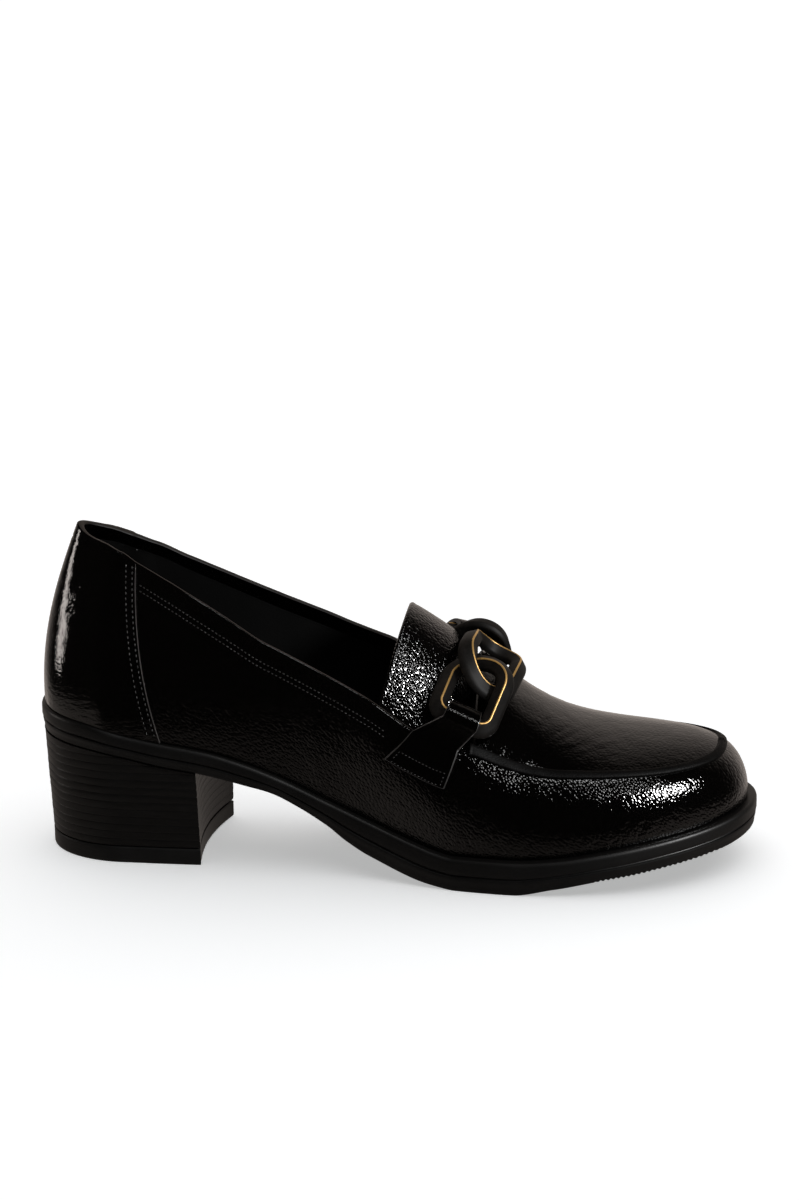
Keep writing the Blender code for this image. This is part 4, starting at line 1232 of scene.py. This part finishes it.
def wall_path(side, start, end, depth):
    """Path along the wall between two stations, depth millimetres under the top line."""
    stations = [mix(start, end, i / 200) for i in range(201)]
    return [wall_point(side, station, 1 - depth / arc_length(side, station)) for station in stations]


def counter_path(side, behind):
    """Path along the counter's front edge, some millimetres behind it."""
    path = []
    for i in range(71):
        s = mix(0.03, 0.985, i / 70)
        x = COUNTER_TOP - behind
        point, normal = wall(side, x_station(x + counter_shift(x, s)), s)
        path.append((point + normal * COUNTER_STEP, normal))
    return path


def shader(name, colour, roughness, **sockets):
    """A Principled material; sockets are set by name with _ for a blank."""
    made = bpy.data.materials.new(name)
    made.use_nodes = True
    tree = made.node_tree
    bsdf = tree.nodes["Principled BSDF"]
    bsdf.inputs["Base Color"].default_value = (*colour, 1)
    bsdf.inputs["Roughness"].default_value = roughness
    for key, value in sockets.items():
        bsdf.inputs[key.replace("_", " ")].default_value = value
    return made, tree, bsdf


def add(tree, kind, **values):
    node = tree.nodes.new(kind)
    for key, value in values.items():
        if key in node.inputs.keys():
            node.inputs[key].default_value = value
        else:
            setattr(node, key, value)
    return node


def place(tree, scale, turn=(0, 0, 0)):
    """Object coordinates turned and stretched; a larger scale makes the pattern finer on that axis."""
    coordinates = add(tree, "ShaderNodeTexCoord")
    mapping = add(tree, "ShaderNodeMapping", vector_type="TEXTURE")
    mapping.inputs["Rotation"].default_value = tuple(math.radians(a) for a in turn)
    mapping.inputs["Scale"].default_value = tuple(1 / v for v in scale)
    tree.links.new(coordinates.outputs["Object"], mapping.inputs["Vector"])
    return mapping.outputs["Vector"]


def noise(tree, vector, scale, detail=2.0, roughness=0.5):
    node = add(tree, "ShaderNodeTexNoise", Scale=scale, Detail=detail, Roughness=roughness)
    tree.links.new(vector, node.inputs["Vector"])
    return node


def math_node(tree, operation, a, b=0.0):
    node = add(tree, "ShaderNodeMath", operation=operation)
    for socket, value in zip(node.inputs, (a, b)):
        if isinstance(value, (int, float)):
            socket.default_value = value
        else:
            tree.links.new(value, socket)
    return node.outputs["Value"]


def warp(tree, vector, scale, amount):
    """The vector moved about by noise."""
    wobble = noise(tree, vector, scale, 1.0)
    shifted = add(tree, "ShaderNodeVectorMath", operation="SUBTRACT")
    tree.links.new(wobble.outputs["Color"], shifted.inputs[0])
    shifted.inputs[1].default_value = (0.5, 0.5, 0.5)
    scaled = add(tree, "ShaderNodeVectorMath", operation="SCALE")
    tree.links.new(shifted.outputs["Vector"], scaled.inputs[0])
    scaled.inputs["Scale"].default_value = amount
    moved = add(tree, "ShaderNodeVectorMath", operation="ADD")
    tree.links.new(vector, moved.inputs[0])
    tree.links.new(scaled.outputs["Vector"], moved.inputs[1])
    return moved.outputs["Vector"]


def smooth_step(tree, source, low, high, start, end):
    """A value that goes smoothly from start to end while the source goes from low to high."""
    node = add(tree, "ShaderNodeMapRange", interpolation_type="SMOOTHSTEP")
    for key, value in (("From Min", low), ("From Max", high), ("To Min", start), ("To Max", end)):
        node.inputs[key].default_value = value
    tree.links.new(source, node.inputs["Value"])
    return node.outputs["Result"]


def bump(tree, bsdf, height, distance, after=None):
    node = add(tree, "ShaderNodeBump", Strength=1.0, Distance=distance)
    tree.links.new(height, node.inputs["Height"])
    if after:
        tree.links.new(after.outputs["Normal"], node.inputs["Normal"])
    tree.links.new(node.outputs["Normal"], bsdf.inputs["Normal"])
    return node


def ramp(tree, factor, stops):
    node = add(tree, "ShaderNodeValToRGB")
    elements = node.color_ramp.elements
    while len(elements) < len(stops):
        elements.new(0.5)
    for element, (position, colour) in zip(elements, stops):
        element.position = position
        element.color = (*colour, 1)
    tree.links.new(factor, node.inputs["Fac"])
    return node.outputs["Color"]


def patent(name, cells, dome, waves, stretch=(1, 1, 1), turn=(0, 0, 0), ripple=None, low=None, **sockets):
    """Patent leather: small domed cells over slower waves under a clear gloss; ripple adds fine ridges
    (scale, stretch, turn, height) and low gives heights in metres between which they fade out upwards."""
    made, tree, bsdf = shader(name, (0.0012, 0.0010, 0.0009), 0.06, IOR=1.5, **sockets)
    vector = place(tree, stretch, turn)
    moved = warp(tree, vector, 450.0, 0.0003)
    voronoi = add(tree, "ShaderNodeTexVoronoi", Scale=cells)
    tree.links.new(moved, voronoi.inputs["Vector"])
    far = math_node(tree, "MULTIPLY", voronoi.outputs["Distance"], voronoi.outputs["Distance"])
    domes = math_node(tree, "SUBTRACT", 1.0, far)
    slow = noise(tree, place(tree, (1, 1, 1)), 120.0, 3.0)
    last = bump(tree, bsdf, slow.outputs["Fac"], waves * 0.35)
    if ripple:
        scale, shape, way, height = ripple
        lines = noise(tree, place(tree, shape, way), scale, 2.0, 0.4).outputs["Fac"]
        if low:
            split = add(tree, "ShaderNodeSeparateXYZ")
            tree.links.new(place(tree, (1, 1, 1)), split.inputs[0])
            fade = smooth_step(tree, split.outputs["Z"], *low, 1.0, 0.0)
            lines = math_node(tree, "MULTIPLY", lines, fade)
        last = bump(tree, bsdf, lines, height, after=last)
    bump(tree, bsdf, domes, dome, after=last)
    return made


def plain(name, colour, roughness, grain, distance, vary=0.3, stretch=(1, 1, 1), **sockets):
    """A material with fine grain and uneven colour."""
    made, tree, bsdf = shader(name, colour, roughness, **sockets)
    vector = place(tree, stretch)
    fine = noise(tree, vector, grain, 3.0)
    patches = noise(tree, vector, grain / 14, 2.0)
    dark = tuple(c * (1 - vary) for c in colour)
    light = tuple(c * (1 + vary) for c in colour)
    shade = ramp(tree, patches.outputs["Fac"], ((0.3, dark), (0.7, light)))
    tree.links.new(shade, bsdf.inputs["Base Color"])
    bump(tree, bsdf, fine.outputs["Fac"], distance)
    return made


CAMERA_AZIMUTH = 7.0
CAMERA_HEIGHT = 16.7
CAMERA_ROLL = -0.8
CAMERA_DISTANCE = 1000.0
CAMERA_TARGET = Vector((127.8, 0, 91))
FOCAL_PIXELS = 2888.0


def make_camera():
    azimuth, height, roll = (math.radians(v) for v in (CAMERA_AZIMUTH, CAMERA_HEIGHT, CAMERA_ROLL))
    level_way = Vector((-math.sin(azimuth), math.cos(azimuth), 0))
    forward = level_way * math.cos(height) - UP * math.sin(height)
    right = Vector((math.cos(azimuth), math.sin(azimuth), 0))
    up = right.cross(forward)
    level = right * math.cos(roll) + up * math.sin(roll)
    upright = up * math.cos(roll) - right * math.sin(roll)
    data = bpy.data.cameras.new("camera")
    data.sensor_width = 36.0
    data.lens = FOCAL_PIXELS / 1200 * 36.0
    data.clip_end = 60
    camera = link("camera", data)
    turned = Matrix((level, upright, -forward)).transposed().to_4x4()
    camera.matrix_world = Matrix.Translation(to_metres(CAMERA_TARGET - forward * CAMERA_DISTANCE)) @ turned
    bpy.context.scene.camera = camera


LIGHT_AIM = Vector((0, 0, 0.06))
LIGHT_DISTANCE = 1.6


# Softboxes: name, direction from the shoe, width, height, radiance and colour
SOFTBOXES = (
    ("key", (0.75, -0.51, 0.43), 0.32, 0.36, 120.0),
    ("fill", (0.42, -0.58, 0.70), 0.18, 0.20, 15.0),
    ("strip", (-0.98, 0.12, 0.13), 0.26, 0.66, 6.0, (1.0, 0.92, 0.87)),
    ("top", (0.2, -0.3, 0.93), 0.3, 0.3, 8.0),
)
FLOOR_HALF = 14.0  # half the floor's width, in metres
FLOOR_GLOW = 0.44  # emission that makes the floor as white as the photograph's


def softbox(name, way, width, height, radiance, colour=(1, 1, 1)):
    """A softbox seen from the shoe in the direction `way`; it shows in the gloss only."""
    data = bpy.data.lights.new(name, "AREA")
    data.shape = "RECTANGLE"
    data.size = width
    data.size_y = height
    data.energy = radiance * math.pi * width * height
    data.color = colour
    light = link(name, data)
    way = Vector(way).normalized()
    light.location = LIGHT_AIM + way * LIGHT_DISTANCE
    light.rotation_euler = way.to_track_quat("Z", "Y").to_matrix().to_euler()
    light.visible_diffuse = False


def overhead(strength, spread):
    """Wide soft light from above for the floor and the matte surfaces."""
    data = bpy.data.lights.new("overhead", "SUN")
    data.energy = strength
    data.angle = math.radians(spread)
    light = link("overhead", data)
    light.rotation_euler = (math.radians(-8), math.radians(6), 0)
    light.visible_glossy = False


def make_world(table, behind, side):
    """What the gloss sees of a dim studio: the table's glow below, a pale wall behind, dark elsewhere."""
    world = bpy.data.worlds.new("studio")
    bpy.context.scene.world = world
    world.use_nodes = True
    tree = world.node_tree
    background = tree.nodes["Background"]
    coordinates = add(tree, "ShaderNodeTexCoord")
    split = add(tree, "ShaderNodeSeparateXYZ")
    tree.links.new(coordinates.outputs["Generated"], split.inputs[0])
    step = functools.partial(smooth_step, tree)
    x, y, z = (split.outputs[axis] for axis in "XYZ")
    sideways = math_node(tree, "ABSOLUTE", x)
    lowered = math_node(tree, "SUBTRACT", z, step(sideways, 0.42, 0.66, 0.0, 0.16))
    below = step(lowered, -0.47, -0.40, table, side)
    sides = step(sideways, 0.35, 0.62, 1.0, 2.0)
    back = math_node(tree, "MULTIPLY", step(y, 0.35, 0.95, 0.0, behind), step(z, -0.50, -0.28, 0.0, 1.0))
    total = math_node(tree, "ADD", math_node(tree, "MULTIPLY", below, sides), back)
    tree.links.new(total, background.inputs["Strength"])
    background.inputs["Color"].default_value = (1.0, 0.88, 0.80, 1)


def make_floor():
    mesh = bpy.data.meshes.new("floor")
    corners = [(x * FLOOR_HALF, y * FLOOR_HALF, 0) for x, y in ((-1, -1), (1, -1), (1, 1), (-1, 1))]
    mesh.from_pydata(corners, [], [(0, 1, 2, 3)])
    floor = link("floor", mesh)
    made, _, bsdf = shader("floor", (0.86, 0.87, 0.885), 0.6, Specular_IOR_Level=0.0)
    bsdf.inputs["Emission Color"].default_value = (0.99, 1.0, 1.0, 1)
    bsdf.inputs["Emission Strength"].default_value = FLOOR_GLOW
    mesh.materials.append(made)
    floor.visible_glossy = False


def main():
    leather = patent("patent_leather_walls", 1000.0, 0.00012, 0.0008, (1.25, 1.0, 0.75), (0, -38, 0),
                     (900.0, (1.0, 1.0, 0.14), (0, 16, 0), 0.00015), (0.018, 0.025))
    counter = patent("patent_leather_counter", 1300.0, 0.00003, 0.0006, (0.8, 0.8, 1.3), (0, 0, 0),
                     (700.0, (0.30, 0.30, 1.3), (0, 0, 0), 0.00010))
    binding = patent("patent_leather_binding", 1150.0, 0.00003, 0.0004)
    top_leather = patent("patent_leather_apron", 1000.0, 0.00007, 0.0008, (1, 1, 1), (0, 0, 0),
                         (1000.0, (1.0, 0.22, 1.0), (0, 0, -23), 0.00006))
    tongue_leather = patent("patent_leather_tongue", 900.0, 0.00018, 0.0006, (1.15, 1.2, 0.8),
                            Specular_IOR_Level=1.0)
    strap_leather = patent("patent_leather_straps", 1250.0, 0.00005, 0.0004, Specular_IOR_Level=0.25)
    edge = plain("strap_edge", (0.030, 0.026, 0.023), 0.45, 1800.0, 0.00005)
    # top of the collar's roll: a lighter matte brown that paints the thin highlight line along the collar's
    # edge
    rim = plain("collar_rim", (0.028, 0.022, 0.018), 0.5, 1800.0, 0.00005, Specular_IOR_Level=0.12)
    # cut edges of counter and straps: the raw edge's own tone, made light enough to paint the highlight line
    # along these edges
    cut = plain("cut_edge", (0.09, 0.08, 0.075), 0.5, 1800.0, 0.00005)
    seam = plain("seam_edge", (0.0012, 0.0009, 0.0008), 0.5, 2400.0, 0.00016, 0.5, Specular_IOR_Level=0.07)
    lining = plain("lining_cloth", (0.0012, 0.0010, 0.0010), 0.8, 2200.0, 0.00008, Specular_IOR_Level=0.10)
    sock = plain("sock_leather", (0.0055, 0.0048, 0.0044), 0.5, 2200.0, 0.00008, Specular_IOR_Level=0.3)
    rubber = plain("sole_rubber_look", (0.0034, 0.0029, 0.0025), 0.42, 1500.0, 0.00004,
                   Specular_IOR_Level=0.25)
    stack = plain("stacked_heel_look", (0.0034, 0.0028, 0.0023), 0.42, 1400.0, 0.00004, stretch=(1, 1, 6),
                  Specular_IOR_Level=0.2)
    tip = plain("heel_tip_look", (0.0036, 0.0031, 0.0027), 0.5, 1500.0, 0.00004, Specular_IOR_Level=0.25)
    thread = plain("thread", (0.009, 0.008, 0.007), 0.4, 6000.0, 0.00005)
    black = plain("soft_black", (0.0105, 0.0085, 0.0070), 0.55, 5000.0, 0.00001, Specular_IOR_Level=0.12)
    gold = plain("gilt_line", (0.58, 0.34, 0.10), 0.42, 4000.0, 0.00001, 0.1, Metallic=0.45)
    rings = [Ring(row) for row in RINGS]
    rings[2].arch -= MEDIAL_DROP
    make_wall([leather, cut, counter])
    make_collar([binding, rim])
    make_lining(lining)
    make_apron([top_leather, seam])
    make_seam(seam)
    make_tongue([tongue_leather, lining])
    make_strap(-1, rings[0], [strap_leather, cut, edge])
    make_strap(1, rings[2], [strap_leather, cut, edge])
    for ring in rings:
        make_ring(ring, black)
    for ring, shares in zip(rings, GILT_SHARES):
        make_gold_line(ring, gold, shares)
    make_outsole(rubber)
    make_heel(stack)
    make_heel_tip(tip)
    stitches = [counter_path(side, behind) for side in (-1, 1) for behind in (1.1, 3.5)]
    stitch_row("counter_stitches", stitches, 1.9, 0.62, 0.2, thread)
    collar = [wall_path(side, COUNTER_STATION + 0.01, x_station(127.0), depth) for side in (-1, 1)
              for depth in (7.0, 9.0)]
    stitch_row("collar_stitches", collar, 1.5, 0.6, 0.2, thread)
    flanges = [path for side in (-1, 1) for path in flange_paths(side)]
    stitch_row("flange_stitches", flanges, 1.3, 0.6, 0.17, thread)
    for body in [obj for obj in bpy.data.objects if obj.name.startswith("insole")]:
        for slot in body.material_slots:
            slot.material = sock
    make_world(0.14, 0.5, 0.008)
    overhead(2.0, 96)
    for row in SOFTBOXES:
        softbox(*row)
    make_floor()
    make_camera()
    bpy.context.scene.view_settings.view_transform = "Standard"


main()
